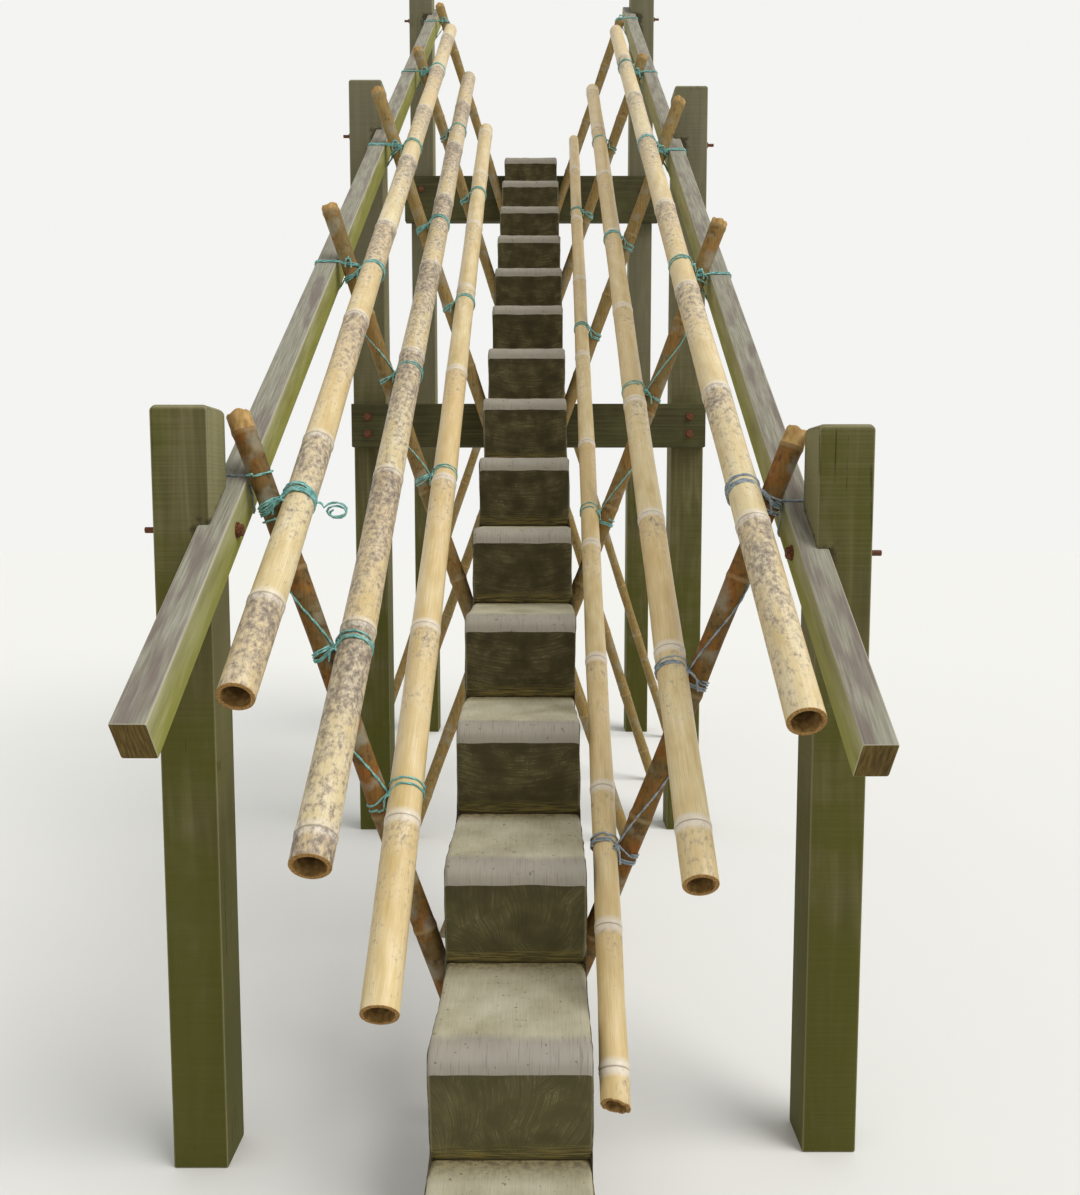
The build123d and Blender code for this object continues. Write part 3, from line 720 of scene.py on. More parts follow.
# Each culm's radius, its low and high end, the places of its nodes, and how mottled it is.
culms = {
    "bamboo_left_outer": (0.033, (-0.4412, 0.1578, 1.0248), (-0.4206, 4.0884, 3.8532),
                          (0.225, 0.763, 1.361, 2.009, 2.658, 3.306, 3.954, 4.602), 0.85),
    "bamboo_left_middle": (0.037, (-0.3312, 0.1775, 0.7353), (-0.3312, 4.1546, 3.6363),
                           (0.057, 0.570, 1.132, 1.762, 2.410, 3.058, 3.706, 4.354), 1.0),
    "bamboo_left_inner": (0.036, (-0.2259, 0.2168, 0.4579), (-0.2424, 4.1849, 3.3779),
                          (0.397, 0.961, 1.586, 2.234, 2.883, 3.531, 4.179, 4.827), 0.35),
    "bamboo_right_outer": (0.034, (0.4776, 0.1368, 0.9886), (0.4478, 4.0335, 3.8185),
                           (0.515, 1.033, 1.613, 2.253, 2.969, 3.550, 4.198), 0.75),
    "bamboo_right_middle": (0.033, (0.3284, 0.2351, 0.6811), (0.3330, 4.1558, 3.5757),
                            (0.114, 0.563, 1.037, 1.590, 2.204, 2.852, 3.500, 4.148, 4.797), 0.30),
    "bamboo_right_inner": (0.027, (0.1830, 0.2163, 0.2817), (0.2349, 4.2739, 3.3583),
                           (0.069, 0.347, 0.686, 1.087, 1.548, 2.070, 2.654, 3.298, 3.946, 4.595), 0.25),
}
culm_wall, mouth_depth, rim_chamfer, mouth_ease = 0.009, 0.160, 0.0015, 0.003
node_form = ((-0.014, 0.0), (-0.006, 0.0003), (-0.003, 0.0010), (-0.0012, 0.0013), (0.0, 0.0002),
             (0.0025, 0.0006), (0.005, 0.0015), (0.008, 0.0014), (0.012, 0.0005), (0.018, 0.0))


def dry_culm(mottle):
    """Dried bamboo: smooth waxy straw-yellow skin, fibres along it, grey-brown mould marks that
    thicken below each node, a pale band and a dark line at the node itself. The fibres are drawn
    2 mm wide, coarser than they are, to show."""
    material, tree, shader = new_finish(f"dry_bamboo_{round(mottle * 100)}", 0.42, gloss=0.5)
    place = add(tree, "ShaderNodeTexCoord").outputs["Object"]
    along = add(tree, "ShaderNodeMapping", {"Vector": place, "Rotation": (-pitch, 0, 0)})
    share = add(tree, "ShaderNodeAttribute", attribute_name="internode_share").outputs["Fac"]
    past = add(tree, "ShaderNodeAttribute", attribute_name="past_node").outputs["Fac"]
    number = add(tree, "ShaderNodeAttribute", attribute_name="internode").outputs["Fac"]
    chance = add(tree, "ShaderNodeTexWhiteNoise", {"W": number}, noise_dimensions="1D")
    fibre_place = add(tree, "ShaderNodeMapping", {
        "Vector": along, "Scale": (1 / 0.0018, 1 / 0.11, 1 / 0.0018)})
    fibres = add(tree, "ShaderNodeTexNoise", {"Vector": fibre_place, "Scale": 1.0, "Detail": 2.0})
    cloud_place = add(tree, "ShaderNodeMapping", {
        "Vector": along, "Scale": (1 / 0.03, 1 / 0.10, 1 / 0.03)})
    clouds = add(tree, "ShaderNodeTexNoise", {"Vector": cloud_place, "Scale": 1.0, "Detail": 4.0})
    body = add(tree, "ShaderNodeValToRGB", {"Fac": clouds},
               ((0.28, linear("#c9b37f")), (0.5, linear("#dfcea0")), (0.72, linear("#eee2bd"))))
    tint = add(tree, "ShaderNodeMapRange", {
        "Value": chance.outputs["Value"], 3: 0.35 - 0.35 * mottle, 4: 0.70 - 0.25 * mottle})
    toned = add(tree, "ShaderNodeMixRGB", {"Fac": tint, "Color1": body, "Color2": linear("#cfab69")})
    streaked = add(tree, "ShaderNodeMixRGB", {"Fac": add(
        tree, "ShaderNodeMapRange", {"Value": fibres, 1: 0.35, 2: 0.7, 3: 0.0, 4: 0.4}),
        "Color1": toned, "Color2": linear("#a98f5e")})
    blot_place = add(tree, "ShaderNodeMapping", {
        "Vector": along, "Scale": (1 / 0.011, 1 / 0.017, 1 / 0.011)})
    blots = add(tree, "ShaderNodeTexNoise", {
        "Vector": blot_place, "Scale": 1.0, "Detail": 7.0, "Roughness": 0.74})
    thickening = add(tree, "ShaderNodeMapRange", {
        "Value": share, 1: 0.15, 2: 0.92, 3: max(0.45 * mottle - 0.39, -0.10), 4: 0.05 + 0.13 * mottle})
    uneven = add(tree, "ShaderNodeMapRange", {"Value": clouds, 1: 0.3, 2: 0.7, 3: -0.06, 4: 0.06})
    density = add(tree, "ShaderNodeMath", {0: thickening, 1: uneven}, operation="ADD")
    marked = add(tree, "ShaderNodeMath", {0: blots, 1: density}, operation="ADD")
    stain = add(tree, "ShaderNodeMapRange", {
        "Value": marked, 1: 0.60 - 0.06 * mottle, 2: 0.68, 3: 0.0, 4: 0.32 + 0.45 * mottle})
    haze = add(tree, "ShaderNodeMapRange", {
        "Value": density, 1: 0.0, 2: 0.16, 3: 0.0, 4: 0.45 * mottle})
    hazed = add(tree, "ShaderNodeMixRGB", {
        "Fac": haze, "Color1": streaked, "Color2": linear("#c2b19b")})
    stained = add(tree, "ShaderNodeMixRGB", {
        "Fac": stain, "Color1": hazed, "Color2": linear("#8b7c6d")})
    deep = add(tree, "ShaderNodeMapRange", {
        "Value": marked, 1: 0.70 - 0.05 * mottle, 2: 0.80, 3: 0.0, 4: 0.8})
    deepened = add(tree, "ShaderNodeMixRGB", {
        "Fac": deep, "Color1": stained, "Color2": linear("#5d5145")})
    band = add(tree, "ShaderNodeMapRange", {
        "Value": past, 1: 0.009, 2: 0.020, 3: 0.85 - 0.25 * mottle, 4: 0.0})
    rubbed = add(tree, "ShaderNodeMapRange", {
        "Value": blots, 1: 0.42, 2: 0.62, 3: 1.0, 4: 1.0 - 0.75 * mottle})
    bloom = add(tree, "ShaderNodeMath", {0: band, 1: rubbed}, operation="MULTIPLY")
    bloomed = add(tree, "ShaderNodeMixRGB", {
        "Fac": bloom, "Color1": deepened, "Color2": linear("#ddd3c3")})
    scar = add(tree, "ShaderNodeMapRange", {
        "Value": past, 1: 0.0007, 2: 0.0020 + 0.0016 * mottle, 3: 0.65, 4: 0.0})
    ringed = add(tree, "ShaderNodeMixRGB", {
        "Fac": scar, "Color1": bloomed, "Color2": linear("#675946")})
    tree.links.new(ringed.outputs[0], shader.inputs["Base Color"])
    dull = add(tree, "ShaderNodeMapRange", {"Value": marked, 1: 0.4, 2: 0.75, 3: 0.36, 4: 0.62})
    tree.links.new(dull.outputs[0], shader.inputs["Roughness"])
    bump = add(tree, "ShaderNodeBump", {"Strength": 0.25, "Distance": 0.0006, "Height": fibres})
    tree.links.new(bump.outputs[0], shader.inputs["Normal"])
    return material


def cut_bamboo():
    """The sawn end of a culm: ochre, browned by weather, its fibres drawn 2 mm wide to show."""
    material, tree, shader = new_finish("cut_bamboo_end", 0.8)
    place = add(tree, "ShaderNodeTexCoord").outputs["Object"]
    fibres = add(tree, "ShaderNodeTexNoise", {"Vector": place, "Scale": 1 / 0.002, "Detail": 3.0})
    body = add(tree, "ShaderNodeValToRGB", {"Fac": fibres},
               ((0.3, linear("#5f4120")), (0.5, linear("#8f6a38")), (0.7, linear("#bb985f"))))
    tree.links.new(body.outputs[0], shader.inputs["Base Color"])
    return material


def culm_hollow():
    """The inside of a culm: papery brown lining, with painted shade that deepens into the hollow."""
    material, tree, shader = new_finish("culm_hollow", 0.9)
    place = add(tree, "ShaderNodeTexCoord").outputs["Object"]
    clouds = add(tree, "ShaderNodeTexNoise", {"Vector": place, "Scale": 1 / 0.012, "Detail": 4.0})
    depth = add(tree, "ShaderNodeAttribute", attribute_name="past_node").outputs["Fac"]
    body = add(tree, "ShaderNodeValToRGB", {"Fac": clouds},
               ((0.3, linear("#6f5028")), (0.5, linear("#94713d")), (0.7, linear("#b49258"))))
    # Painted shade: the lining darkens the further it lies inside the mouth.
    hollow_shade = add(tree, "ShaderNodeMapRange", {"Value": depth, 1: 0.0, 2: 0.07, 3: 0.1, 4: 0.95})
    shaded_inside = add(tree, "ShaderNodeMixRGB", {"Fac": hollow_shade, "Color1": body, "Color2": linear("#2a1d0c")})
    tree.links.new(shaded_inside.outputs[0], shader.inputs["Base Color"])
    return material


def stem_mesh(name, low, high, outline, seed, sides, wander):
    """A round stem as rings along its axis, which wanders a little off straight. The outline
    holds each ring's distance, radius, share of the internode, distance from the nearest node,
    internode number and material."""
    axis = (high - low).normalized()
    right = axis.cross(Vector((0, 0, 1))).normalized()
    up = right.cross(axis)
    shape = bmesh.new()
    share_layer = shape.verts.layers.float.new("internode_share")
    past_layer = shape.verts.layers.float.new("past_node")
    number_layer = shape.faces.layers.float.new("internode")
    rings = []
    for distance, radius, share, past, *_ in outline:
        bend = (right * noise.noise(Vector((distance * 0.9, seed, 0)))
                + up * noise.noise(Vector((distance * 0.9, seed, 9)))) * wander
        centre = low + axis * distance + bend
        ring = []
        for i in range(sides):
            turn = 2 * math.pi * i / sides
            out = right * math.cos(turn) + up * math.sin(turn)
            vert = shape.verts.new(centre + out * radius)
            vert[share_layer], vert[past_layer] = share, past
            ring.append(vert)
        rings.append(ring)
    for here, there, (*_, number, finish) in zip(rings, rings[1:], outline):
        for i in range(sides):
            j = (i + 1) % sides
            face = shape.faces.new((here[i], here[j], there[j], there[i]))
            face.material_index = finish
            face[number_layer] = number
            face.smooth = True
    for ring, (*_, finish) in ((rings[0][::-1], outline[0]), (rings[-1], outline[-1])):
        face = shape.faces.new(ring)
        face.material_index = finish
    bmesh.ops.recalc_face_normals(shape, faces=shape.faces)
    mesh = bpy.data.meshes.new(name)
    shape.to_mesh(mesh)
    shape.free()
    mesh.set_sharp_from_angle(angle=math.radians(50))
    return mesh


def skin_outline(length, radius, nodes, form, first_number, spacing, waist):
    """Outer outline of a culm or pole from end to end: waisted between its nodes, with the node's
    form at each of them, and a ring at every spacing in between."""
    places = {0.0: 0.0, length: 0.0}
    for node in nodes:
        for shift, out in form:
            if 0 < node + shift < length:
                places[node + shift] = out
    step = spacing
    while step < length:
        if all(abs(step - node) > 0.02 for node in nodes):
            places.setdefault(step, 0.0)
        step += spacing
    outline = []
    bounds = [-0.35] + list(nodes) + [length + 0.35]
    for distance in sorted(places):
        number = sum(1 for node in nodes if distance >= node)
        start, end = bounds[number], bounds[number + 1]
        share = (distance - start) / (end - start)
        past = min(abs(distance - node) for node in nodes)
        swell = radius - waist * math.sin(math.pi * share) ** 2 + places[distance]
        outline.append((distance, swell, share, past, first_number + number, 0))
    return outline


rim_finish, hollow_finish = cut_bamboo(), culm_hollow()
for index, (name, (radius, low, high, nodes, mottle)) in enumerate(culms.items()):
    low, high = Vector(low), Vector(high)
    length = (high - low).length
    skin = skin_outline(length, radius, nodes, node_form,
                        first_number=index * 17, spacing=0.07, waist=0.0012)
    bore, rim = radius - culm_wall, radius - rim_chamfer
    low_mouth, high_mouth = min(mouth_depth, nodes[0]), max(length - mouth_depth, nodes[-1])
    inside_low = [(low_mouth, 0.0005, 0, mouth_depth, 0, 2),
                  (low_mouth, bore * 0.9, 0, mouth_depth, 0, 2),
                  (low_mouth * 0.5, bore, 0, low_mouth * 0.5, 0, 2), (mouth_ease, bore, 0, 0, 0, 2),
                  (0.0, bore + 0.001, 0, 0, 0, 1), (0.0, rim, 0, 0, 0, 1)]
    skin[0] = (rim_chamfer,) + skin[0][1:]
    skin[-1] = (length - rim_chamfer,) + skin[-1][1:-1] + (1,)
    inside_high = [(length, rim, 0, 0, 0, 1), (length, bore + 0.001, 0, 0, 0, 2),
                   (length - mouth_ease, bore, 0, 0, 0, 2),
                   ((length + high_mouth) / 2, bore, 0, (length - high_mouth) / 2, 0, 2),
                   (high_mouth, bore * 0.9, 0, mouth_depth, 0, 2),
                   (high_mouth, 0.0005, 0, mouth_depth, 0, 2)]
    mesh = stem_mesh(name, low, high, inside_low + skin + inside_high,
                     seed=index, sides=36, wander=0.003)
    if name == "bamboo_right_inner":
        # Its low mouth has split away aslant, furthest back on the side of the log.
        along, split_depth = (high - low).normalized(), 0.010
        for vert in mesh.vertices:
            reach = (vert.co - low).dot(along)
            if reach < split_depth:
                round_it = (vert.co - low - along * reach).normalized()
                vert.co += along * (0.009 - 0.005 * round_it.x + 0.004 * noise.noise(round_it * 3))
    finished(name.replace("bamboo", "culm"), mesh, (dry_culm(mottle), rim_finish, hollow_finish), name)


# Cross poles
# Five pairs of old poles stand on the ground, cross under the log and lean out to the rails. They
# are weathered brown bamboo, orange where the skin is sound, with broken pale tops.

# The foot and top of each pole's centre line, from the lowest pair up.
poles = {
    "left": (((-0.0363, 0.6103, 0), (-0.5639, 0.6103, 1.5293)),
             ((0.1870, 1.5403, 0), (-0.5618, 1.5403, 2.2103)),
             ((0.4019, 2.4703, 0), (-0.5645, 2.4703, 2.9063)),
             ((0.6085, 3.4003, 0), (-0.5211, 3.4003, 3.4623)),
             ((0.8067, 4.3303, 0), (-0.5063, 4.3303, 4.1033))),
    "right": (((0.0054, 0.6606, 0), (0.5906, 0.6606, 1.5004)),
              ((-0.2422, 1.5906, 0), (0.5840, 1.5906, 2.1814)),
              ((-0.4749, 2.5206, 0), (0.5880, 2.5206, 2.8924)),
              ((-0.6926, 3.4506, 0), (0.5377, 3.4506, 3.4534)),
              ((-0.8952, 4.3806, 0), (0.5018, 4.3806, 4.0494))),
}
pole_radius = 0.025


def old_brown_pole():
    """Old bamboo pole: brown and orange skin, straw coloured where it stays dry up the stair,
    blotched with dirt and pale lichen."""
    material, tree, shader = new_finish("old_brown_pole", 0.7)
    place = add(tree, "ShaderNodeTexCoord").outputs["Object"]
    past = add(tree, "ShaderNodeAttribute", attribute_name="past_node").outputs["Fac"]
    fibre_place = add(tree, "ShaderNodeMapping", {
        "Vector": place, "Scale": (1 / 0.004, 1 / 0.004, 1 / 0.06)})
    fibres = add(tree, "ShaderNodeTexNoise", {"Vector": fibre_place, "Scale": 1.0, "Detail": 3.0})
    clouds = add(tree, "ShaderNodeTexNoise", {"Vector": place, "Scale": 1 / 0.07, "Detail": 5.0})
    blots = add(tree, "ShaderNodeTexNoise", {"Vector": place, "Scale": 1 / 0.015, "Detail": 5.0})
    body = add(tree, "ShaderNodeValToRGB", {"Fac": clouds},
               ((0.3, linear("#8a5219")), (0.45, linear("#835c26")), (0.6, linear("#6a5630")),
                (0.75, linear("#80765a"))))
    upper = add(tree, "ShaderNodeMapRange", {"Value": add(
        tree, "ShaderNodeSeparateXYZ", {0: place}).outputs["Y"], 1: 0.9, 2: 2.2, 3: 0.0, 4: 0.75})
    dried = add(tree, "ShaderNodeMixRGB", {"Fac": upper, "Color1": body, "Color2": linear("#9c854f")})
    lined = add(tree, "ShaderNodeMixRGB", {"Fac": add(
        tree, "ShaderNodeMapRange", {"Value": fibres, 1: 0.35, 2: 0.7, 3: 0.0, 4: 0.5}),
        "Color1": dried, "Color2": linear("#4f3a20")})
    stain = add(tree, "ShaderNodeMapRange", {"Value": add(
        tree, "ShaderNodeMath", {0: upper, 1: -0.08, 2: blots}, operation="MULTIPLY_ADD"),
        1: 0.52, 2: 0.68, 3: 0.0, 4: 0.65})
    stained = add(tree, "ShaderNodeMixRGB", {
        "Fac": stain, "Color1": lined, "Color2": linear("#3c2f1c")})
    crust_place = add(tree, "ShaderNodeMapping", {"Vector": place, "Location": (3, 5, 7)})
    crusts = add(tree, "ShaderNodeTexNoise", {"Vector": crust_place, "Scale": 1 / 0.06, "Detail": 6.0})
    lichen = add(tree, "ShaderNodeMapRange", {"Value": crusts, 1: 0.54, 2: 0.66, 3: 0.0, 4: 0.7})
    crusted = add(tree, "ShaderNodeMixRGB", {
        "Fac": lichen, "Color1": stained, "Color2": linear("#8d8772")})
    scar = add(tree, "ShaderNodeMapRange", {"Value": past, 1: 0.002, 2: 0.007, 3: 0.35, 4: 0.0})
    ringed = add(tree, "ShaderNodeMixRGB", {
        "Fac": scar, "Color1": crusted, "Color2": linear("#b0966a")})
    tree.links.new(ringed.outputs[0], shader.inputs["Base Color"])
    bump = add(tree, "ShaderNodeBump", {"Strength": 0.4, "Distance": 0.0015, "Height": blots})
    tree.links.new(bump.outputs[0], shader.inputs["Normal"])
    return material


def broken_pole_top():
    """Freshly broken end of an old pole: tan, its fibres drawn in coarse 9 mm bundles to show."""
    material, tree, shader = new_finish("broken_pole_top", 0.85)
    place = add(tree, "ShaderNodeTexCoord").outputs["Object"]
    stretched = add(tree, "ShaderNodeMapping", {
        "Vector": place, "Scale": (1 / 0.009, 1 / 0.009, 1 / 0.03)})
    fibres = add(tree, "ShaderNodeTexNoise", {"Vector": stretched, "Scale": 1.0, "Detail": 3.0})
    body = add(tree, "ShaderNodeValToRGB", {"Fac": fibres},
               ((0.3, linear("#8c6a3a")), (0.5, linear("#ab8852")), (0.75, linear("#c6a56c"))))
    tree.links.new(body.outputs[0], shader.inputs["Base Color"])
    return material


pole_finish, top_finish = old_brown_pole(), broken_pole_top()
pole_form = ((-0.010, 0.0), (-0.003, 0.001), (0.0, 0.0016), (0.004, 0.0012), (0.012, 0.0))
foot_cut, ragged_top, break_depth = 0.05, 0.02, 0.011
for side, pairs in poles.items():
    for pair, (foot, top) in enumerate(pairs, 1):
        foot, top = Vector(foot), Vector(top)
        length = (top - foot).length
        chance = random.Random(f"{side}{pair}")
        bare = 0.046 if pair == 1 else 0.026
        nodes, place = [], length - (bare + 0.002)
        while place > 0.06:
            nodes.insert(0, place)
            place -= chance.uniform(0.24, 0.34)
        skin = skin_outline(length, pole_radius - 0.0006, nodes, pole_form,
                            first_number=pair * 20, spacing=0.06, waist=0.0016)
        skin = [row[:5] + (1 if row[0] > length - bare else 0,) for row in skin]
        skin += [(length - 0.001, pole_radius * 0.80, 0, 0.1, 0, 1),
                 (length - 0.004, pole_radius * 0.4, 0, 0.1, 0, 1)]
        skin[-3] = (length - 0.006,) + skin[-3][1:]
        node = f"pole_{side}_{pair}"
        mesh = stem_mesh(node, foot, top, skin,
                         seed=pair + (37 if side == "left" else 30), sides=24, wander=0.003)
        axis = (top - foot).normalized()
        for vert in mesh.vertices:
            reach = (vert.co - foot).dot(axis)
            if reach < foot_cut:
                vert.co -= axis * (vert.co.z / axis.z)
            if reach > length - ragged_top:
                ragged = noise.noise(vert.co * 60 + Vector((pair * 5, 0, 0)))
                vert.co -= axis * break_depth * (0.5 + 0.5 * ragged)
        finished(f"round_{node}", mesh, (pole_finish, top_finish), node)


# Twine lashings
# Polypropylene twine, teal or faded grey blue, ties every culm to the poles that it passes and
# every pole to its handrail: a few turns drawn tight, a knot, and two short tails.
twine_pitch, twine_lift = 0.0048, 0.0014


def polypropylene_twine(name, light, dark):
    """Slippery plastic fibres, a little glossy, faded in spots along the turns."""
    material, tree, shader = new_finish(name, 0.45, gloss=0.5)
    place = add(tree, "ShaderNodeTexCoord").outputs["Object"]
    fade = add(tree, "ShaderNodeTexNoise", {"Vector": place, "Scale": 1 / 0.012, "Detail": 3.0})
    body = add(tree, "ShaderNodeValToRGB", {"Fac": fade}, ((0.35, linear(dark)), (0.65, linear(light))))
    tree.links.new(body.outputs[0], shader.inputs["Base Color"])
    return material


def twine_tree():
    """Lays two twisted plies along every path."""
    tree = bpy.data.node_groups.new("twisted_twine", "GeometryNodeTree")
    tree.interface.new_socket("Paths", in_out="INPUT", socket_type="NodeSocketGeometry")
    for name, size in (("Ply Radius", 0.0018), ("Twist Per Metre", 110.0), ("Step", 0.008)):
        socket = tree.interface.new_socket(name, in_out="INPUT", socket_type="NodeSocketFloat")
        socket.default_value = size
    tree.interface.new_socket("Finish", in_out="INPUT", socket_type="NodeSocketMaterial")
    tree.interface.new_socket("Twine", in_out="OUTPUT", socket_type="NodeSocketGeometry")
    given = add(tree, "NodeGroupInput").outputs
    curve = add(tree, "GeometryNodeMeshToCurve", {"Mesh": given["Paths"]})
    even = add(tree, "GeometryNodeResampleCurve", {
        "Curve": curve, "Length": given["Step"]}, mode="LENGTH")
    reach = add(tree, "GeometryNodeSplineParameter").outputs["Length"]
    turn = add(tree, "ShaderNodeMath", {0: reach, 1: given["Twist Per Metre"]}, operation="MULTIPLY")
    tilted = add(tree, "GeometryNodeSetCurveTilt", {"Curve": even, "Tilt": turn})
    ply = add(tree, "GeometryNodeCurvePrimitiveCircle", {
        "Resolution": 5, "Radius": given["Ply Radius"]}, mode="RADIUS")
    pair = add(tree, "GeometryNodeJoinGeometry")
    for way in (0.6, -0.6):
        shift = add(tree, "ShaderNodeMath", {0: given["Ply Radius"], 1: way}, operation="MULTIPLY")
        moved = add(tree, "GeometryNodeTransform", {
            "Geometry": ply, "Translation": add(tree, "ShaderNodeCombineXYZ", {0: shift})})
        tree.links.new(moved.outputs[0], pair.inputs[0])
    solid = add(tree, "GeometryNodeCurveToMesh", {
        "Curve": tilted, "Profile Curve": pair, "Fill Caps": True})
    smooth = add(tree, "GeometryNodeSetShadeSmooth", {0: solid})
    real = add(tree, "GeometryNodeRealizeInstances", {0: smooth})
    dressed = add(tree, "GeometryNodeSetMaterial", {"Geometry": real, "Material": given["Finish"]})
    add(tree, "NodeGroupOutput", {0: dressed})
    return tree


def nearest_points(a, a_way, b, b_way):
    """The points at which two straight members pass each other."""
    gap = a - b
    ab = a_way.dot(b_way)
    fall = 1 - ab * ab
    a_reach = (ab * b_way.dot(gap) - a_way.dot(gap)) / fall
    return a + a_way * a_reach, b + b_way * (b_way.dot(gap) + ab * a_reach)


# Knots and tails lie on the front of the poles, facing down the stair and a little up.
knot_side = Vector((0, -0.85, 0.5)).normalized()


def knot_and_tails(spot, outward, sideways, chance):
    """A small overhand knot and the two tails that hang from it."""
    down, knot_size, steps = Vector((0, 0, -1)), 0.0036, 18
    knot = []
    for i in range(steps + 1):
        t = 2 * math.pi * i / steps
        knot.append(spot + outward * (0.0040 + 0.0030 * math.sin(3 * t))
                    + sideways * knot_size * (math.sin(t) + 1.1 * math.sin(2 * t))
                    + outward.cross(sideways) * knot_size * (math.cos(t) - 1.1 * math.cos(2 * t)))
    paths = [knot]
    for way in (1, -1):
        length = chance.uniform(0.025, 0.050)
        lean = sideways * way * chance.uniform(0.2, 0.7)
        paths.append([spot + outward * 0.005,
                      spot + outward * 0.010 + lean * length * 0.3 + down * length * 0.1,
                      spot + outward * 0.010 + lean * length * 0.6 + down * length * 0.4,
                      spot + outward * 0.007 + lean * length * 0.7 + down * length * 0.9])
    return paths


def round_one(centre, way, radius, shift, turns, chance):
    """Turns drawn round a culm or a pole alone."""
    side = way.orthogonal().normalized()
    up = way.cross(side)
    tilt, start = chance.uniform(-0.005, 0.005), chance.uniform(0, 2 * math.pi)
    path, steps = [], 16
    for i in range(steps * turns + 1):
        angle = start + 2 * math.pi * i / steps
        path.append(centre + way * (shift + twine_pitch * i / steps + tilt * math.sin(angle))
                    + (side * math.cos(angle) + up * math.sin(angle)) * (radius + twine_lift))
    return path


def round_both(near, near_way, near_radius, far, far_way, far_radius, turns, chance):
    """Turns drawn round a culm and a pole together, lying askew where they cross between."""
    between = (far - near).normalized()
    near_side = near_way.cross(between).normalized()
    far_side = far_way.cross(between).normalized()
    if near_side.dot(far_side) < 0:
        far_side = -far_side
    path, steps = [], 12
    for turn in range(turns):
        slack = chance.uniform(0.0, 0.0003)
        shift = (turn - (turns - 1) / 2) * twine_pitch + chance.uniform(-0.0008, 0.0008)
        for i in range(steps + 1):
            angle = math.pi * (i / steps - 0.5)
            path.append(near + near_way * (shift + twine_pitch * i / steps / 2)
                        + (near_side * math.sin(angle) - between * math.cos(angle))
                        * (near_radius + twine_lift + slack))
        for i in range(steps + 1):
            angle = math.pi * (0.5 - i / steps)
            path.append(far + far_way * (shift + twine_pitch * (0.5 + i / steps / 2))
                        + (far_side * math.sin(angle) + between * math.cos(angle))
                        * (far_radius + twine_lift + slack))
    return path


def on_to_next(pole_from, pole_to, radius, across):
    """The strand that runs on down the pole from one lashing and winds across its face, about
    half a turn, to the next."""
    path, steps = [], 16
    for i in range(steps + 1):
        angle = math.radians(-125 + 185 * i / steps)
        path.append(pole_from.lerp(pole_to, 0.30 + 0.69 * i / steps)
                    + (across * math.sin(angle) + knot_side * math.cos(angle)) * (radius + 0.0012))
    return path


def loose_curl(start):
    """The long tail left on the first lashing, which springs out in two loops."""
    path = [start, start + Vector((0.012, -0.004, 0.001))]
    for i in range(27):
        turn = math.pi * (1 - i / 6)
        size = 0.024 - 0.0003 * i
        path.append(start + Vector((0.042 + size * math.cos(turn), -0.006 + 0.0006 * i,
                                    -0.012 + 0.6 * size * math.sin(turn) - 0.0004 * i)))
    return path


def tie_to_rail(start, rail_at, rail_way, outward):
    """The single strand that runs from the first lashing over the handrail and back under it."""
    rail_up = outward.cross(rail_way)
    if rail_up.z < 0:
        rail_up = -rail_up
    lift, drift = 0.0018, 0.006
    path = [start]
    for across, up in ((-0.94, 1), (0.94, 1), (1, 0.94), (1, -0.94),
                       (0.94, -1), (-0.94, -1), (-1, -0.94), (-1, 0.5)):
        path.append(rail_at + outward * across * (rail_half_width + lift)
                    + rail_up * up * (rail_half_height + lift) - rail_way * drift * (1 - up))
    return path


def rail_turns(pole_at, pole_way, rail_at, rail_way, outward, turns, chance):
    """Turns round a pole and the handrail that it leans on."""
    rail_up = outward.cross(rail_way)
    if rail_up.z < 0:
        rail_up = -rail_up
    pole_side = pole_way.cross(outward).normalized()
    if pole_side.dot(rail_up) < 0:
        pole_side = -pole_side
    path, steps, spacing, lift = [], 9, 0.006, 0.0028
    for turn in range(turns):
        shift = (turn - (turns - 1) / 2) * spacing + chance.uniform(-0.001, 0.001)
        for i in range(steps + 1):
            angle = math.pi * (i / steps - 0.5)
            path.append(pole_at + pole_way * shift + (
                pole_side * math.sin(angle) - outward * math.cos(angle)) * (pole_radius + lift))
        for across, up in ((-1, 1), (-0.8, 1), (0.86, 1), (1, 0.9), (1, 0.5),
                           (1, -0.5), (1, -0.9), (0.86, -1), (-0.8, -1)):
            path.append(rail_at + rail_way * shift * 1.2 + outward * across * (rail_half_width + lift)
                        + rail_up * up * (rail_half_height + lift))
    return path


twines = {"teal": ("#93c6bd", "#62a198"), "faded": ("#a7b0b4", "#75838c")}
paths = {name: [] for name in twines}
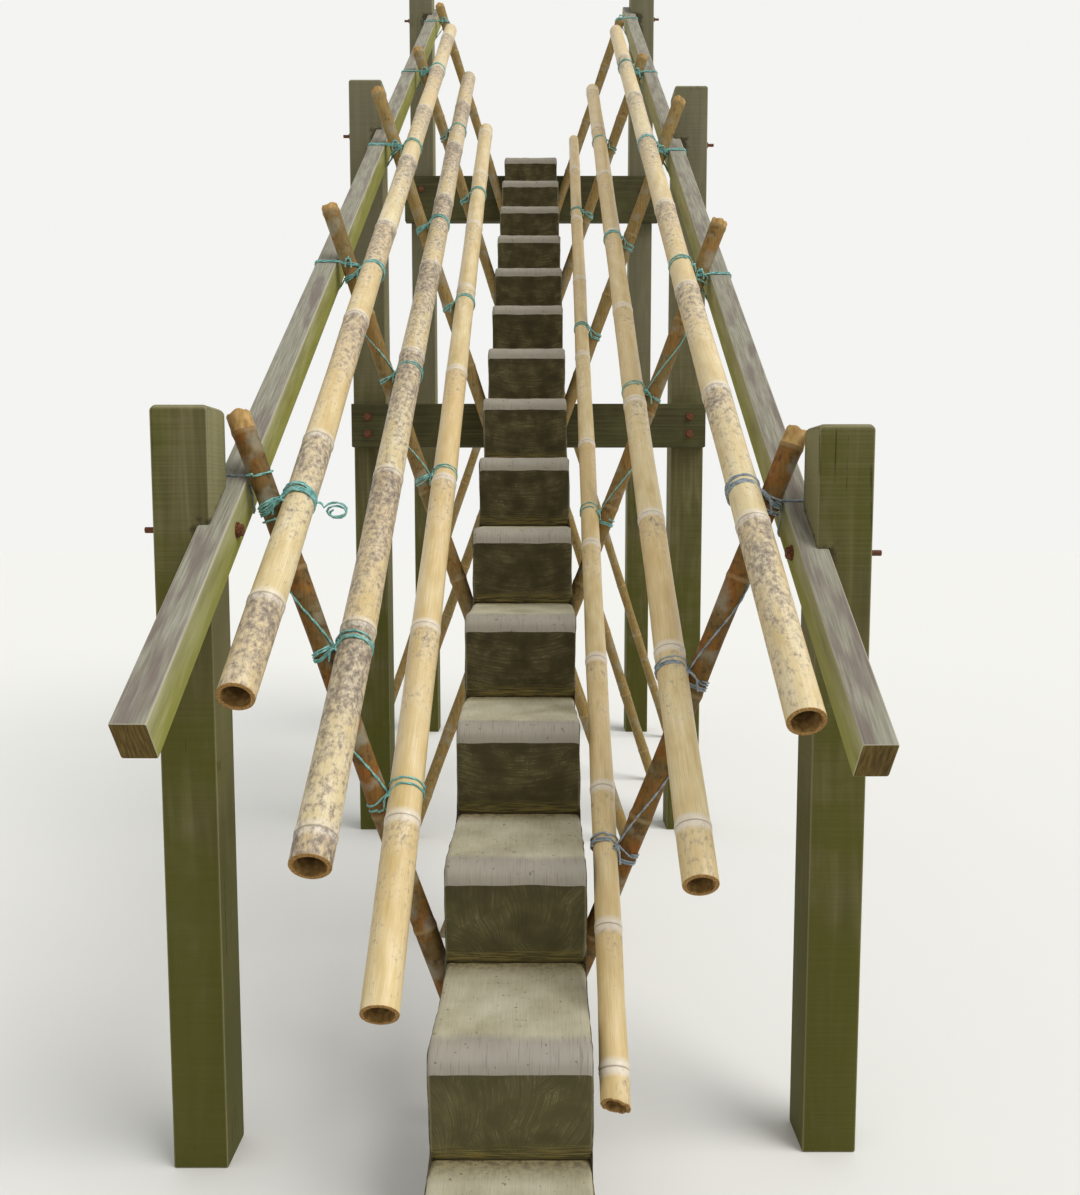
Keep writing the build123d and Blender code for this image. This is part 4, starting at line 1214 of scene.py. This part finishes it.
# On the left, the strand to the handrail is tied this far up the pole from the first lashing.
rail_tie = 0.080
for side, pairs in poles.items():
    rail_low, rail_high = rail_ends[side]
    rail_way = (rail_high - rail_low).normalized()
    side_way = Vector((-1 if side == "left" else 1, 0, 0))
    for pair, (foot, top) in enumerate(pairs, 1):
        foot, top = Vector(foot), Vector(top)
        pole_way = (top - foot).normalized()
        chance = random.Random(f"twine{side}{pair}")
        previous = None
        for level in ("outer", "middle", "inner"):
            radius, low, high, *_ = culms[f"bamboo_{side}_{level}"]
            low, high = Vector(low), Vector(high)
            culm_way = (high - low).normalized()
            culm_at, pole_at = nearest_points(low, culm_way, foot, pole_way)
            if (culm_at - high).dot(culm_way) > -0.02:
                continue
            colour = "faded" if side == "right" and pair == 1 else "teal"
            first = pair == 1 and level == "outer"
            turns = 3 if first else chance.choice((1, 2, 2))
            paths[colour].append(round_both(culm_at, culm_way, radius, pole_at, pole_way, pole_radius,
                                            turns, chance))
            paths[colour].append(round_one(culm_at, culm_way, radius, 0.014, 2 if first else 1, chance))
            if first:
                shifts = (rail_tie, 0.012, -0.018) if side == "left" else (0.012, -0.018)
            else:
                shifts = (chance.choice((0.010, -0.014)),)
            for shift in shifts:
                paths[colour].append(round_one(pole_at, pole_way, pole_radius, shift,
                                               chance.choice((1, 2)), chance))
            if first:
                tied_at = pole_at + pole_way * (rail_tie if side == "left" else 0.0)
                beside = rail_low + rail_way * (tied_at - rail_low).dot(rail_way)
                paths["faded"].append(tie_to_rail(
                    tied_at + knot_side * pole_radius + side_way * 0.012, beside, rail_way, side_way))
            if first and side == "left":
                paths[colour].append(loose_curl(culm_at + Vector((radius + 0.003, 0, 0))))
            between = (pole_at - culm_at).normalized()
            knot_at = culm_at + between * radius + knot_side * 0.030
            paths[colour] += knot_and_tails(knot_at, knot_side, side_way, chance)
            if previous and pair < 3:
                across = knot_side.cross(pole_way).normalized()
                if across.dot(side_way) > 0:
                    across = -across
                paths[colour].append(on_to_next(previous, pole_at, pole_radius, across))
            previous = pole_at
        rail_at, pole_at = nearest_points(rail_low, rail_way, foot, pole_way)
        if pair > 1:
            paths["teal"].append(rail_turns(pole_at, pole_way, rail_at, rail_way, side_way,
                                            chance.choice((2, 3)), chance))
            paths["teal"] += knot_and_tails(pole_at + knot_side * (pole_radius + 0.002), knot_side,
                                            side_way, chance)

twine = twine_tree()
for name, lines in paths.items():
    points, edges = [], []
    for line in lines:
        start = len(points)
        points += line
        edges += [(start + i, start + i + 1) for i in range(len(line) - 1)]
    strands = bpy.data.meshes.new(f"{name}_twine")
    strands.from_pydata(points, edges, [])
    finish = polypropylene_twine(f"{name}_twine", *twines[name])
    grown(f"{name}_twine_lashings", strands, twine, {"Finish": finish})


# Floor and light
# A plain pale floor under soft, even daylight from above, the right and a little in front. The
# sky shows whiter to the eye, and in what is glossy, than it lights the stair.
floor_mesh = bpy.data.meshes.new("floor")
floor_mesh.from_pydata([(-30, -30, 0), (30, -30, 0), (30, 30, 0), (-30, 30, 0)], [], [(0, 1, 2, 3)])
floor = bpy.data.objects.new("floor", floor_mesh)
bpy.context.collection.objects.link(floor)
floor_finish, _, floor_shader = new_finish("pale_floor", 0.9)
floor_shader.inputs["Base Color"].default_value = linear("#e4e2dc")
floor_mesh.materials.append(floor_finish)

sky = bpy.data.worlds.new("soft_daylight")
bpy.context.scene.world = sky
sky.use_nodes = True
sky_tree = sky.node_tree
sky_tree.nodes.clear()
rays = add(sky_tree, "ShaderNodeLightPath")
lit = add(sky_tree, "ShaderNodeBackground", {"Color": linear("#eef1f4"), "Strength": 0.75})
seen = add(sky_tree, "ShaderNodeBackground", {"Color": linear("#f4f4f2"), "Strength": 1.0})
mirrored = add(sky_tree, "ShaderNodeMath", {
    0: rays.outputs["Is Glossy Ray"], 1: rays.outputs["Is Transmission Ray"]}, operation="MAXIMUM")
looked_at = add(sky_tree, "ShaderNodeMath", {
    0: rays.outputs["Is Camera Ray"], 1: mirrored}, operation="MAXIMUM")
behind = add(sky_tree, "ShaderNodeMixShader", {0: looked_at, 1: lit, 2: seen})
add(sky_tree, "ShaderNodeOutputWorld", {"Surface": behind})

lamp_data = bpy.data.lights.new("daylight", "SUN")
lamp_data.energy = 2.1
lamp_data.angle = math.radians(40.0)
lamp = bpy.data.objects.new("daylight", lamp_data)
lamp.rotation_euler = (math.radians(16.0), math.radians(34.0), 0)
bpy.context.collection.objects.link(lamp)
